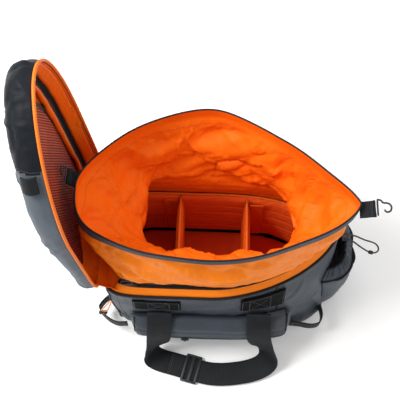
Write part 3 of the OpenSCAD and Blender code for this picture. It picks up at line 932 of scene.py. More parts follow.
def make_base():
    """Reinforced bottom: bound edge and a shallow quilted face."""
    # Which outline of BODY, how far in, and at what height.
    rings = [lift(ring(BODY[k], ins), z) * MM for k, ins, z in (
        (0, 26, 0.6), (0, 9, 0.5), (0, 4, 0.0), (0, 1.2, 0.05), (1, 0.4, 1.0), (1, 0, 2.0),
        (2, 0.2, 3.4), (2, 1.6, 3.9))]
    place(stack("base_cover", rings, M["base"]), "bag", "base_black", "base_panel")
    seam = lift(ring(BODY[0], 6.5), 0.35) * MM
    stitches("base_stitching", [shut(seam)], M["thread"], "bag", "base_black", 4.2, 2.8, 0.3)


def shell_rows(zs):
    """The shell's surface at the heights zs, as in the CAD."""
    return loft([row(o, o[0]) for o in BODY[2:]] + [row(RIM, RIM_Z)], zs)


def shell_wrinkles(p, n):
    """Soft hollows and creases of the foam-backed shell, none at the rim."""
    z = p[..., 2] / MM
    fade = smooth((RIM_Z - 4 - z) / 22) * smooth((z - 4) / 14)
    slow = fbm(p, 11, 3.1) * 1.9
    crease = rumple(p, 9, 9.7, 0.12, (1, 1, 1.6)) * 1.7 - rumple(p, 17, 3.9, 0.1) * 1.1
    return p + n * (np.maximum((slow + crease) * fade, -1.3) * MM)[..., None]


# Outline angles of the shell's four upright seams.
SEAM_ANGLES = (218, 142, 303, 57)


def make_shell():
    """The body's grey cloth, with its upright seams and their stitches."""
    zs = np.concatenate([np.linspace(4, 20, 9), np.linspace(24, 182, 44), [184, 185.6]])
    p = shell_rows(zs)
    p = shell_wrinkles(p, normals(p))
    place(skin("shell_fabric", p, SHELL_T * MM, M["shell"]), "bag", "shell_grey", "outer_shell")
    n = normals(p)

    def upright(j, off):
        """The shell's column j without its ends, off millimetres proud."""
        return (p[:, j] + n[:, j] * off * MM)[1:-1]

    seams = [column(deg) for deg in SEAM_ANGLES]
    tubes = [tube("seam", upright(j, 0.7), 1.35 * MM, M["pipe"], 8) for j in seams]
    place(join("corner_seams", tubes), "bag", "piping_black")
    lines = [upright((j + beside) % COLS, 0.25) for j in seams for beside in (-4, 4)]
    stitches("seam_stitching", lines, M["thread"], "bag", "shell_grey", 3.6, 2.5, 0.32)


def column(deg):
    """The ring column at an outline angle."""
    first = 0
    for a0, a1, n in MARKS:
        if a0 <= deg % 360 <= a1:
            angles = np.linspace(a0, a1, 400)
            run = lengths(outline_at(RIM, angles))
            here = np.interp(deg % 360, angles, run)
            return (first + int(round(n * here / run[-1]))) % COLS
        first += n


def make_lining():
    """The orange cloth inside the shell."""
    a = SHELL_T + 1.6
    zs = np.concatenate([np.linspace(4 + a, 182, 26), [185.0]])
    p = loft([(o[0] + (a if o[0] == 4 else 0), ring(o, a)) for o in BODY[2:]], zs)
    place(skin("lining_fabric", p, LINING_T * MM, M["orange"]), "bag", "lining_orange", "lining")


def pad_wall_mesh():
    """The insert's wall as one closed loop of soft-edged section."""
    r, lo, hi, t = 3.4, 12.5, 149.5, 10.0
    sect = []
    for cx, cz, a0 in ((t - r, hi - r, 0), (r, hi - r, 90), (r, lo + r, 180), (t - r, lo + r, 270)):
        for k in range(4):
            a = math.radians(a0 + 30 * k)
            sect.append((cx + r * math.cos(a), cz + r * math.sin(a)))
        if a0 == 90:
            sect += [(0, z) for z in np.linspace(hi - 12, lo + 12, 22)]
    sect += [(t, z) for z in np.linspace(lo + 12, hi - 12, 22)]
    rows = [lift(ring(INSERT, ins + 0.4 * (5 - ins) / 5), z) * MM for ins, z in sect]
    return np.concatenate(rows), grid_faces(len(rows), COLS, wrap=True)


PAD_BANDS = (42, 68, 94, 120)       # heights of the wall's quilted channels
PADFLOOR = (0, 137, 156, 4, 83, 66, INSERT_E, 0)


def make_insert():
    """The padded insert: quilted wall, floor pad and their bindings."""
    verts, faces = pad_wall_mesh()
    ob = puff("insert_pad_wall", verts, faces, M["well"], 2.2, 0.0022, 0.004)
    co, nn = points_of(ob)
    z = co[:, 2] / MM
    inward = nn[:, 0] * (co[:, 0] - 0.01) + nn[:, 1] * (co[:, 1] - 0.004) < 0
    wob = 2.2 * fbm(co * np.array([1, 1, 0]), 14, 5.0, 2)
    dent = sum(np.exp(-((z - band - wob) / 2.2) ** 2) for band in PAD_BANDS)
    swell = fbm(co, 26, 2.2, 3, (1, 1, 1.7)) * 0.8
    deep = np.where(inward, -1.9 * dent + swell * smooth((z - 18) / 15), 0)
    move_points(ob, co + nn * (deep * MM)[:, None])
    place(ob, "bag", "pad_orange", "insert_wall")
    edge = lift(ring(INSERT, 5), 149.6) * MM
    place(tube("insert_top_binding", edge, 1.5 * MM, M["pipe_orange"], 8, loop=True), "bag",
          "piping_orange")
    verts, faces = stack_data([lift(ring(PADFLOOR, ins), z) * MM for ins, z in (
        (2.2, 9.9), (0.6, 10.8), (0, 12.8), (0.4, 15.2), (2.4, 16.6))])
    pad = puff("insert_pad_floor", verts, faces, M["floor"], 2.0, 0.0012, 0.0045)
    co, _ = points_of(pad)
    top = co[:, 2] > 13.2 * MM
    crumple = fbm(co, 22, 7.7, 3, (1, 1.5, 1)) * 0.9 - 0.5
    co[:, 2] += np.where(top, crumple * MM, 0)
    move_points(pad, co)
    place(pad, "bag", "pad_orange", "insert_floor")
    # The dark joint between the wall and the floor.
    tape = lift(ring(INSERT, 11.2), 18.6) * MM
    place(tube("insert_floor_binding", tape, 1.0 * MM, M["pipe"], 8, loop=True), "bag",
          "piping_black")


def stack_data(rows):
    """Points and faces of rings of points, closed on the middles of the end rings."""
    n, m = len(rows[0]), len(rows)
    verts = np.concatenate(rows + [rows[0].mean(0)[None], rows[-1].mean(0)[None]])
    faces = grid_faces(m, n)
    faces += [(j, m * n, (j + 1) % n) for j in range(n)]
    faces += [((m - 1) * n + j, (m - 1) * n + (j + 1) % n, m * n + 1) for j in range(n)]
    return verts, faces


def rounded_rect(w, h, r, k=5):
    """Points round a rectangle centred on zero, corners turned with radius r."""
    out = []
    for cx, cy, a0 in ((w / 2 - r, h / 2 - r, 0), (-w / 2 + r, h / 2 - r, 90),
                       (-w / 2 + r, -h / 2 + r, 180), (w / 2 - r, -h / 2 + r, 270)):
        for i in range(k + 1):
            a = math.radians(a0 + 90 * i / k)
            out.append((cx + r * math.cos(a), cy + r * math.sin(a)))
    return np.array(out)


def make_divider(side, x, y0, y1, tab_dir, tab_y):
    """A padded partition with bound edges, and its hook tab on the back wall."""
    h0, h1, t = 18.2, 148.6, 6.4
    w, h = y1 - y0 - 1.4, h1 - h0
    out = rounded_rect(w, h, 5)
    mid = np.array([(y0 + y1) / 2, (h0 + h1) / 2])
    rows = []
    for dx, sc in ((-t / 2, 0.965), (-t * 0.36, 0.992), (0, 1.0), (t * 0.36, 0.992), (t / 2, 0.965)):
        q = out * np.array([1 - (1 - sc) * 110 / w, sc]) + mid
        rows.append(np.stack([np.full(len(q), x + dx), q[:, 0], q[:, 1]], -1) * MM)
    v, f = stack_data(rows)
    body = "divider_" + side
    ob = puff(body + "_pad", v, f, M["pad"], 3.4, 0.0024, 0.0035)
    co, nn = points_of(ob)
    move_points(ob, co + nn * (fbm(co, 30, x * 0.1, 3) * 0.55 * MM)[:, None])
    place(ob, body, "pad_orange", body)
    line = rounded_rect(w + 0.2, h + 0.2, 5, 6) + mid
    edge = np.stack([np.full(len(line), x), line[:, 0], line[:, 1]], -1)
    loop = spline(edge, 2, loop=True) * MM
    place(tube(body + "_binding", loop, 1.7 * MM, M["pipe_orange"], 8, loop=True), body,
          "piping_orange")
    # The tab: loop cloth with a row of stitches inside its edge.
    x0 = x + tab_dir * 4.2
    p = np.array([[(x0 + tab_dir * 23.4 * u, tab_y - 1.9 + 0.5 * math.sin(z * 0.11 + u * 2), z)
                   for u in np.linspace(0, 1, 15)] for z in np.linspace(28.5, 143.5, 40)]) * MM
    if tab_dir < 0:
        p = p[:, ::-1]
    tab = skin(body + "_tab_cloth", p, 1.8 * MM, M["pad"], closed=False)
    place(tab, body, "pad_orange", body + "_tab")

    def within(g):
        """A grid's values along a line two cells inside its edge."""
        return np.concatenate([g[2, 2:-2], g[2:-2, -3], g[-3, 2:-2][::-1], g[2:-2, 2][::-1]])

    seam = within(p) + within(normals(p, False)) * 0.2 * MM
    stitches(body + "_tab_stitching", [seam], M["thread_orange"], body, "pad_orange", 3.0, 2.0,
             0.3)


# Outline angles of the zip and its strips, which leave out the hinge end.
ZIP_ANGLES = np.concatenate([np.linspace(-130, -90, 60), np.linspace(-90, 0, 170)[1:],
                             np.linspace(0, 90, 170)[1:], np.linspace(90, 130, 60)[1:]])


def rim_strip(profile, scale=28, seed=0.0, octaves=2, sway=0.0, rise=0.7):
    """A strip beside the zip through a profile of (inset, height), in metres. It waves
    more and more towards the profile's end, by up to sway mm inward and rise of that up."""
    rows = []
    for k, (ins, z) in enumerate(profile):
        q = lift(outline_at(RIM, ZIP_ANGLES, ins), z)
        w = fbm(q * MM, scale, seed, octaves) * sway * k / (len(profile) - 1)
        inward = outline_at(RIM, ZIP_ANGLES, ins + 1) - q[:, :2]
        inward /= np.linalg.norm(inward, axis=1, keepdims=True)
        q[:, :2] += inward * w[:, None]
        q[:, 2] += w * rise
        rows.append(q)
    return resample(np.array(rows) * MM, 420)


def make_rim():
    """Piping round the rim, the orange strip inside it, and the open half of the zip."""
    sect = [(-1.5, 187.2), (-1.3, 188.5), (-0.6, 189.5), (0.6, 189.9), (1.9, 189.6), (2.8, 188.6),
            (3.0, 187.3), (2.6, 186.3), (1.2, 186.0), (-0.6, 186.1), (-1.3, 186.6)]
    rows = [lift(ring(RIM, i), z) * MM for i, z in sect]
    place(stack("rim_binding", rows, M["pipe"], loop=True), "bag", "piping_black", "rim_piping")
    edge = lift(ring(RIM, -1.7), 187.6) * MM
    stitches("rim_stitching", [shut(edge)], M["thread"], "bag", "piping_black", 3.4, 2.3, 0.35)

    # The lining's edge, carried in from the rim to the collar's foot.
    gusset = []
    for k, (ins, z) in enumerate([(2.6, 188.4), (4.0, 190.8), (7.5, 193.2), (12, 195.2),
                                  (16.5, 196.6), (19.5, 196.4)]):
        q = lift(ring(RIM, ins), z)
        q[:, 2] += fbm(q * MM, 24, 14.0, 3) * 1.6 * math.sin(math.pi * k / 5)
        gusset.append(q)
    place(skin("rim_gusset", np.array(gusset) * MM, 0.8 * MM, M["orange"], own_normals=True),
          "bag", "lining_orange")
    p = rim_strip([(3.6, 190.4), (4.6, 192.0), (6.4, 194.4), (8.6, 197.0), (10.6, 199.4),
                   (11.8, 201.2)], 32, 4.4, 3, 1.75, 0.8)
    place(skin("rim_facing_cloth", p, -1.1 * MM, M["slack"], closed=False), "bag",
          "lining_orange", "rim_facing")
    tp = rim_strip([(11.0, 200.9), (11.2, 202.6), (12.0, 204.4), (13.4, 205.8), (15.2, 206.4)])
    tn = normals(tp, False)
    wav = fbm(tp[-1:], 30, 8.8, 2)[0]
    tp[2:] += np.array([0, 0, 1]) * (wav * 0.7 * MM)[:, None]
    place(skin("rim_zip_tape", tp, -0.7 * MM, M["zip"], closed=False, n=tn), "bag", "zip_black",
          "rim_zip")
    up = -tn[-1] if tn[-1][0][2] < 0 else tn[-1]
    teeth("rim_zip_teeth", tp[-1] + np.array([0, 0, 0.5]) * MM, up, M["coil"], "bag", "zip_black")
    seam = p[1] + normals(p, False)[1] * 0.2 * MM
    stitches("rim_facing_stitching", [seam], M["thread_orange"], "bag", "lining_orange", 3.0,
             2.0, 0.3)


def make_zip_hardware():
    """Slider and puller on the rim's zip, and the cord pull at the front corner."""
    c = np.array([-118, -99.5, 205])
    at = shifted(*(c + [0, 0, 1.5]))
    plates = [round_box("slider_plate", (15.58, 7.4, 1.2), 0.55, M["dark_metal"],
                        at @ shifted(0, 0, z)) for z in (0.75, -0.9)]
    plates.append(round_box("slider_post", (4, 2.6, 2.2), 0.5, M["dark_metal"], at))
    arch = spline([(-4, 0, 1.2), (-3.2, 0, 2.0), (0, 0, 2.3), (3.2, 0, 2.0), (4, 0, 1.2)], 4)
    plates.append(tube("slider_bridge", (arch + c + [0, 0, 1.5]) * MM, 0.75 * MM,
                       M["dark_metal"], 8))
    place(join("rim_zip_slider", plates), "rim_slider", "metal_dark", "rim_slider")
    z = 209.0
    outer = rounded_rect(19, 6.4, 3.1, 6) + [c[0] - 7.5, c[1]]
    inner = rounded_rect(14.6, 3.6, 1.7, 6) + [c[0] - 8.2, c[1]]
    flat_ring("rim_zip_puller", outer, inner, z - 0.6, z + 0.6, M["metal"], "rim_puller",
              "metal_grey", "rim_puller")

    pull = spline([(-151, -121, 187), (-154, -121.5, 178), (-161, -122, 160),
                   (-167, -122.5, 146), (-164, -122.5, 141), (-159, -122.5, 144),
                   (-154, -122, 160), (-150, -121.5, 178), (-147.5, -121, 187)], 6) * MM
    place(tube("corner_pull_cord", pull, 1.0 * MM, M["cord_orange"], 10), "corner_pull",
          "cord_orange", "pull_cord")
    prof = [(0, 2.0), (0.3, 2.9), (1.2, 3.3), (2.6, 2.7), (3.4, 3.3), (4.6, 2.7), (5.6, 3.3),
            (6.6, 3.2), (7.0, 2.2)]
    top = Vector((-163.5, -122.5, 140.4))
    tilt = Matrix.Rotation(math.radians(20), 3, "Y")
    grips = [lathe("grip", prof, M["plastic"], top + tilt @ Vector((x, 0, -2)),
                   tilt @ Vector((0, 0, -1))) for x in (-3.1, 3.1)]
    bar = shifted(*top) @ tilt.to_4x4() @ shifted(0, 0, -5.5)
    grips.append(round_box("grip_web", (7, 4.6, 6.4), 1.2, M["plastic"], bar))
    place(join("corner_pull_grip", grips), "corner_pull", "plastic_black", "pull_grip")


def flat_ring(name, outer, inner, z0, z1, mat, body, slot, *nodes):
    """A plate with a window: two outlines of as many points, between two heights."""
    k = (z1 - z0) * 0.28
    rows = []
    for pts, z, grow in ((inner, z0 + k, 0), (outer, z0, -0.3), (outer, z0 + k, 0),
                         (outer, z1 - k, 0), (outer, z1, -0.3), (inner, z1, 0.3),
                         (inner, z1 - k, 0)):
        mid = pts.mean(0)
        d = pts - mid
        q = mid + d * (1 + grow / np.linalg.norm(d, axis=1, keepdims=True))
        rows.append(lift(q, z) * MM)
    rows.insert(1, lift(inner + (outer - inner) * 0.12, z0) * MM)
    return place(stack(name, rows, mat, loop=True), body, slot, *nodes)


# ---------------------------------------------------------------- the collar
HEM_Z = 304
COLLAR_ZS = np.concatenate([np.linspace(180, 212, 12), np.linspace(216, 300, 33),
                            np.linspace(HEM_Z, MOUTH_Z, 9)])
# Folds pressed into the collar: centre, reach and push, in mm.
FOLDS = [
    ((-118, 10, 240), (34, 70, 22), (26, 0, -3)),
    ((-165, -40, 290), (30, 40, 26), (-7, -6, 0)),
    ((-120, -68, 245), (40, 26, 18), (6, 10, 0)),
    ((60, 88, 262), (60, 24, 14), (0, -9, 0)),
    ((-30, 100, 285), (70, 30, 12), (0, 7, 0)),
    ((-95, 78, 262), (44, 24, 15), (5, -11, 0)),
    ((126, 40, 236), (26, 50, 20), (-15, 0, 0)),
    ((168, -30, 292), (26, 30, 10), (-4, 7, 4)),
    ((-10, -92, 262), (165, 34, 34), (0, 21, -2)),
    ((176, -14, 300), (24, 10, 15), (-8, 0, 8)),
    ((150, -12, 277), (26, 10, 17), (-9, 0, 7)),
    ((128, -8, 252), (22, 12, 17), (-8, 0, 4)),
    ((-50, 110, 290), (44, 30, 13), (0, -9, 0)),
    ((-10, 96, 268), (40, 30, 13), (0, -10, 0)),
    ((30, 84, 244), (36, 24, 13), (0, -8, 0)),
    ((84, 92, 286), (34, 26, 20), (-5, -8, 0)),
    ((-150, 40, 262), (24, 18, 26), (9, 0, 0)),
    ((-172, -8, 284), (20, 16, 24), (8, 0, 0)),
]


def press(p, folds):
    """Points pushed by each fold, most at its centre and nothing beyond its reach."""
    q = p.copy()
    for centre, reach, push in folds:
        d = (p / MM - np.array(centre)) / np.array(reach)
        w = np.exp(-(d ** 2).sum(-1))
        q += w[..., None] * np.array(push) * MM
    return q


def rumple(p, scale, seed, width, stretch=(1, 1, 1)):
    """Long sharp folds: one on a fold's ridge, falling to zero beside it."""
    warp = fbm(p, scale * 0.7, seed + 31, 2)[..., None] * np.array([0.6, 0.5, 0.7]) / scale
    v = np.abs(fbm(p + warp * 0.5, scale, seed, 2, stretch))
    return np.maximum(0, 1 - v / width) ** 1.3


def pleats(p, sets, seed):
    """Flat-sided folds in a few directions: each set is a direction, a spacing, a depth
    (both mm) and a phase. Slow noise bends them and makes them come and go."""
    out = np.zeros(p.shape[:-1])
    for k, (way, gap, deep, phase) in enumerate(sets):
        d = np.array(way, float) / np.linalg.norm(way)
        t = (p @ d) / (gap * MM) + phase + fbm(p, 6.0, seed + 7 * k, 2) * 0.75
        saw = 4 * np.abs(t - np.floor(t + 0.5)) - 1
        some = smooth((fbm(p, 7.5, seed + 50 + 3 * k, 1) + 0.35) / 0.5)
        out += saw * deep * some
    return out


def ease(h):
    """A field on a closed grid, blurred a little."""
    up = np.concatenate([h[1:], h[-1:]])
    down = np.concatenate([h[:1], h[:-1]])
    return (h * 2 + up + down + np.roll(h, 1, 1) + np.roll(h, -1, 1)) / 6


WALL_PLEATS = [((0.75, 0.25, 0.6), 74, 6.0, 0.15), ((-0.6, 0.35, 0.75), 58, 5.0, 0.4),
               ((0.25, 0.9, 0.45), 90, 4.6, 0.1), ((0.85, -0.4, 0.3), 37, 2.4, 0.7),
               ((-0.4, 0.5, 0.8), 25, 1.5, 0.3), ((0.5, 0.6, -0.6), 17, 0.8, 0.6)]
SLACK_PLEATS = [((0.48, 0.1, 0.88), 47, 5.4, 0.2), ((0.62, 0.1, 0.75), 31, 3.2, 0.6),
                ((-0.35, 0.2, 0.9), 40, 3.0, 0.1), ((0.25, 0.1, 0.95), 19, 1.3, 0.5)]


def collar_surface():
    """The sleeve's outer face, draped between its seam, throat and stiff hem."""
    p = np.array([sleeve(z, 2.2) for z in COLLAR_ZS]) * MM
    p = press(p, FOLDS)
    n = normals(p)
    z = p[..., 2] / MM
    free = smooth((z - 200) / 26) * smooth((HEM_Z + 3 - z) / 26)
    h = ease(pleats(p, WALL_PLEATS, 3.0)) + fbm(p, 7, 1.3, 1) * 3.0
    p += n * (h * free * MM)[..., None]
    pinned = np.repeat(((COLLAR_ZS < 192) | (COLLAR_ZS >= HEM_Z - 1))[:, None], COLS, 1)
    p = relax(p, pinned.astype(float), 14, -0.02, 0.1, 0.3, 14, 0.004)
    n = normals(p)
    fine = (rumple(p, 9, 6.1, 0.06) * 4.0 - rumple(p, 12, 3.3, 0.05) * 3.0
            + rumple(p, 19, 9.4, 0.05) * 1.0)
    p += n * (fine * free * MM)[..., None]
    wavy = smooth((z - HEM_Z + 30) / 40)
    p += n * (fbm(p * np.array([1, 1, 0]), 13, 12.0, 1) * wavy * 2.2 * MM)[..., None]
    return p


def outer_surface(p):
    """The sleeve's slack outside, from the zip up to the hem, hanging full at the front."""
    top = p[int(np.searchsorted(COLLAR_ZS, HEM_Z)) - 1] / MM
    foot = lift(ring(RIM, 18.5), 196)
    n = normals(p)[-1]
    rows = []
    for t in np.linspace(0, 1, 30):
        k = smooth((t - 0.08) / 0.92) ** 0.8
        q = foot * (1 - k) + top * k
        q[:, 2] = foot[:, 2] + (top[:, 2] - foot[:, 2]) * t
        rows.append(q + n * (7.5 * math.sin(math.pi * t) ** 1.2 + 1.0 * t))
    q = np.array(rows) * MM
    m = normals(q)
    t = np.repeat(np.linspace(0, 1, 30)[:, None], COLS, 1)
    free = smooth((t - 0.1) / 0.15) * smooth((0.99 - t) / 0.12)
    h = ease(pleats(q, SLACK_PLEATS, 23.0)) + fbm(q, 9, 8.0, 1) * 1.4
    q += m * (h * free * MM)[..., None]
    pinned = ((t < 0.09) | (t > 0.95)).astype(float)
    q = relax(q, pinned, 12, -0.03, 0.2, 0.2, 12, 0.004)
    m = normals(q)
    fine = (rumple(q, 15, 2.2, 0.08, (0.5, 1, 1.3)) * 2.0
            - rumple(q, 20, 5.2, 0.07, (0.45, 1, 1.3)) * 1.6)
    q += m * (ease(fine * free) * MM)[..., None]
    return q


def sector(p, n, a0, a1):
    """Columns between two outline angles, both ends included."""
    i, j = column(a0), column(a1)
    ids = np.arange(i, j + 1 if j > i else j + 1 + COLS) % COLS
    return p[:, ids], n[:, ids]


# The collar's quarters, and the outline angles between which each lies.
QUARTERS = [("front", 215, 322), ("right", 322, 38), ("back", 38, 145), ("left", 145, 215)]


def fold_with_lid(ob, part):
    """Front and back quarters get a mesh of their own; the ends have their transforms baked into
    their meshes.
    """
    if part == "front":
        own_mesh(ob)
    elif part == "back":
        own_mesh(ob)
    elif part == "left":
        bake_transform(ob)
    else:
        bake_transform(ob)


def attach(ob, part, slot, *nodes):
    """A quarter of the collar: front and back ride on the bag, its CAD nodes are hidden, and
    fold_with_lid readies its mesh. Its slot is not used.
    """
    if part in ("front", "back"):
        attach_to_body(ob, "bag")
    if nodes:
        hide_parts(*nodes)
    fold_with_lid(ob, part)


def make_collar():
    """The pull-up sleeve in four quarters: inside, outside, hem, binding, stitches."""
    p = collar_surface()
    n = normals(p)
    outside = outer_surface(p)
    outward = normals(outside)
    t = 1.5 * MM
    hem0 = int(np.searchsorted(COLLAR_ZS, HEM_Z))
    for part, a0, a1 in QUARTERS:
        q, m = sector(p, n, a0, a1)
        ob = skin("collar_" + part, q, t, M["orange"], closed=False, own_normals=True, n=m)
        attach(ob, part, "lining_orange", "collar")
        hq, hm = q[hem0:] + m[hem0:] * 1.5 * MM, m[hem0:]
        ob = skin("collar_hem_" + part, hq, 1.3 * MM, M["hem"], closed=False, own_normals=True,
                  n=hm)
        attach(ob, part, "shell_grey", "collar_hem")
        edge = tube("mouth_binding_" + part, q[-1] + np.array([0, 0, 0.2]) * MM, 1.3 * MM,
                    M["pipe"], 8)
        attach(edge, part, "piping_black")
        inner = q[hem0 - 1] - m[hem0 - 1] * (1.5 + 0.15) * MM
        ob = many("hem_stitching_" + part, thread_along(inner, 3.4, 2.3, 0.33),
                  M["thread_orange"])
        attach(ob, part, "lining_orange")
        # The outside takes the slack orange, lighter and yellower than the lining as painted light.
        oq, om = sector(outside, outward, a0, a1)
        ob = skin("collar_outside_" + part, oq, 0.8 * MM, M["slack"], closed=False,
                  own_normals=True, n=om)
        attach(ob, part, "lining_orange")
    # The sleeve's foot, sewn down to the padded insert.
    zs = np.linspace(150.6, 186, 14)
    foot = np.array([lift(ring(RIM, 22.4 - 6 * smooth((182 - z) / 30)), z) for z in zs]) * MM
    m = normals(foot)
    foot += m * (fbm(foot, 16, 9.0, 3) * 1.8 * smooth((foot[..., 2] / MM - 151) / 10)
                 * smooth((186 - foot[..., 2] / MM) / 8) * MM)[..., None]
    place(skin("collar_foot", foot, 1.2 * MM, M["slack"], own_normals=True), "bag",
          "lining_orange")


# The wire hook's line in its own plane, in mm.
HOOK = [(0.2, -11), (0.2, 11), (2, 13), (5, 12), (8, 8.5), (14, 7.5), (18, 4), (18.5, -1),
        (16, -5), (11.5, -5.5), (9.2, -2)]


def make_hooks():
    """Webbing tab and bent-wire hook at each pointed end of the mouth."""
    for side, sx, centre, turn, body, path in (
            ("left", -1, (-209.4, 16, 326.4), 78, "hook_left",
             [(-193.6, 14.8, 312.6), (-199.0, 15, 316.6), (-204, 15.4, 320), (-207.6, 15.9, 324.0)]),
            ("right", 1, (223, -19, 322.6), -8, "hook_right",
             [(199.0, -20, 317.6), (205.4, -20, 319), (213, -19.5, 320.5), (220.6, -19, 321.9)])):
        h = spline([(x * sx, y, 0) for x, y in HOOK], 8)
        turned = Matrix.Translation(Vector(centre)) @ Matrix.Rotation(math.radians(turn), 4, "Y")
        pts = np.array([turned @ Vector(q) for q in h]) * MM
        radius = np.full(len(pts), 1.3 * MM)
        radius[:2] = (0.9 * MM, 1.25 * MM)
        radius[-2:] = (1.25 * MM, 0.9 * MM)
        place(tube("wire_hook_" + side, pts, radius, M["dark_metal"], 12), body, "metal_dark",
              "hook_" + side)
        tab = strap("mouth_tab_" + side, np.array(path) * MM, [(0, 1, 0)] * len(path), 12.5 * MM,
                    2.0 * MM, M["web"], 5)
        place(tab, "collar_end_" + side, "webbing_black", "tab_" + side)
        c = np.array(path[-1], float)
        d = c - np.array(path[-2], float)
        d /= np.linalg.norm(d)
        roll = [c + d * 0.6 + (0, y, 0) for y in (-12.2, -6, 0, 6, 12.2)]
        loop = tube("mouth_tab_roll_" + side, np.array(roll) * MM - d * 2.4 * MM, 1.9 * MM,
                    M["web"], 12)
        place(loop, "collar_end_" + side, "webbing_black")
        up = np.cross(d, (0, 1, 0)) * 1.15
        lines = [[(c - d * back + up * face + (0, y, 0)) * MM for y in (-11, 11)]
                 for back in (4.2, 6.4) for face in (1, -1)]
        stitches("mouth_tab_stitching_" + side, lines, M["thread"], "collar_end_" + side,
                 "webbing_black", 2.6, 1.8, 0.3)


# ---------------------------------------------------------------- the lid
# The lid's hinge line, and the turn that stands it open.
HINGE = np.array([-165.5, -80, 190.5]) * MM
LEAN = math.radians(2.4)
TURN = np.array(Matrix.Rotation(math.radians(-97), 3, (0, math.cos(LEAN), -math.sin(LEAN))))
LID_SEAM_X = 127      # where the nose panel meets the hinge panel, from the origin when closed


def opened(p):
    """Points of the closed lid, turned to where it stands open. Near the hinge the dome's
    front flank is slumped flatter."""
    p = np.array(p, float)
    x, y, z = (p[..., k] / MM for k in range(3))
    slump = 0.30 * smooth((50 - x) / 150) * smooth((-5 - y) / 70)
    p[..., 2] -= slump * np.maximum(z - RIM_Z - 4, 0) * MM
    return (p - HINGE) @ TURN.T + HINGE


# The closed lid's side: height above the rim, and how far in, from its edge to its crown.
DOME = [(4.6, 0), (11, -1.1), (18, -1.5), (25, 0.2), (32, 3), (37, 6.8), (41, 12), (44.2, 19),
        (46, 28), (47.2, 39), (48, 50)]


def dome_rows(ins, count_side, crown):
    """Closed lid's surface drawn in by ins on every side: wall, shoulder and crown."""
    rows = []
    for h, d in evenly(np.array(DOME, float), count_side):
        drop = ins * smooth((h - 5) / 6)
        rows.append(lift(ring(RIM, d + ins), RIM_Z + h - drop))
    last = rows[-1]
    spine = np.stack([np.clip(last[:, 0], -70, 60), np.full(len(last), 14.0),
                      np.full(len(last), RIM_Z + 50.0 - ins)], -1)
    for k in range(1, crown + 1):
        t = k / crown * 0.985
        q = last * (1 - t) + spine * t
        q[:, 2] = last[:, 2] + (spine[:, 2] - last[:, 2]) * math.sin(t * math.pi / 2)
        rows.append(q)
    return np.array(rows) * MM


def lid_dents(p, n):
    """The lid's cloth with its hollows, long creases and cross creases."""
    x, z = p[..., 0] / MM, p[..., 2] / MM
    fade = smooth((z - RIM_Z - 5) / 12)
    slow = fbm(p, 10, 21.0, 3) * 2.0
    long_creases = (rumple(p, 11, 33.0, 0.16, (0.35, 1.3, 1)) * 2.4
                    - rumple(p, 15, 13.0, 0.14, (0.4, 1.2, 1)) * 2.0)
    nose = smooth((x - LID_SEAM_X) / 20) * 0.6 + 0.4
    across_it = rumple(p, 7, 5.0, 0.12, (1.6, 0.7, 0.7)) * 2.2
    return p + n * ((slow + long_creases * nose + across_it) * fade * MM)[..., None]


def crowned(p):
    """A dome's grid with a last row that closes its crown, and its normals."""
    n = np.concatenate([normals(p), np.tile([[[0, 0, 1.0]]], (1, COLS, 1))])
    return np.concatenate([p, p[-1:] * 0.0 + p[-1].mean(0)]), n


def make_lid_shell():
    """The lid's outside in two panels of cloth, with a stitched ridge where they meet."""
    t = 2.6 * MM
    p = dome_rows(0, 30, 16)
    p, n = crowned(lid_dents(p, normals(p)))
    x = p[..., 0] / MM
    ridge = np.exp(-((x - LID_SEAM_X) / 1.6) ** 2) * smooth((p[..., 2] / MM - RIM_Z - 4) / 5)
    p = p + n * (ridge * 0.9 * MM)[..., None]
    ob = skin("lid_fabric", opened(p), t, M["lid_dark"], both=opened(p - n * t))
    ob.data.materials.append(M["lid_slate"])
    # Each cell of the grid has a face outside and one inside.
    slate = np.repeat((p[:-1, :, 0] / MM < LID_SEAM_X).reshape(-1), 2)
    for face, is_slate in zip(ob.data.polygons, slate):
        face.material_index = int(is_slate)
    place(ob, "lid", "shell_grey", "lid_shell")
    lines = [opened(q) for off in (-3.2, 3.2) for q in level_lines(p, n, LID_SEAM_X + off, 0.25)]
    stitches("lid_seam_stitching", lines, M["thread"], "lid", "shell_grey", 3.6, 2.5, 0.33)


def level_lines(p, n, x_at, up):
    """Where a grid's columns cross a given x, as two lines of points over the lid."""
    out = {1: [], -1: []}
    rows, cols = p.shape[:2]
    for i in range(rows - 1):
        xs = p[i, :, 0] / MM - x_at
        for j in range(cols):
            k = (j + 1) % cols
            if xs[j] * xs[k] < 0:
                t = xs[j] / (xs[j] - xs[k])
                q = (p[i, j] * (1 - t) + p[i, k] * t) + n[i, j] * up * MM
                out[1 if q[1] > 0.014 else -1].append(q)
    return [np.array(v) for v in out.values() if len(v) > 3]


def make_lid_lining():
    """The lid's orange inside, loose and creased, always clear of the shell."""
    t = 1.1 * MM
    p = dome_rows(3.4, 26, 14)
    n = normals(p)
    z = p[..., 2] / MM
    pinned = np.zeros(p.shape[:2])
    pinned[:2] = 1
    pinned[-1] = 1
    q = relax(p, pinned, 18, -0.05, 0.0, 0.3, 12, 0.005)
    off = ((q - p) * n).sum(-1)
    q = q - n * (np.maximum(off, 0))[..., None]
    fade = smooth((z - RIM_Z - 5) / 8)
    crease = np.abs(fbm(q, 20, 40.0, 3, (1, 0.6, 1))) * 4.2
    # Less creased behind the zip tape, which it would come through.
    crease *= 1 - 0.75 * np.exp(-((z - 212) / 8) ** 2)
    fine = np.abs(fbm(q, 55, 17.0, 2)) * 1.1
    q, m = crowned(q - n * ((crease + fine) * fade * MM)[..., None])
    ob = skin("lid_lining_cloth", opened(q), t, M["orange"], both=opened(q - m * t))
    place(ob, "lid", "lining_orange", "lid_lining")


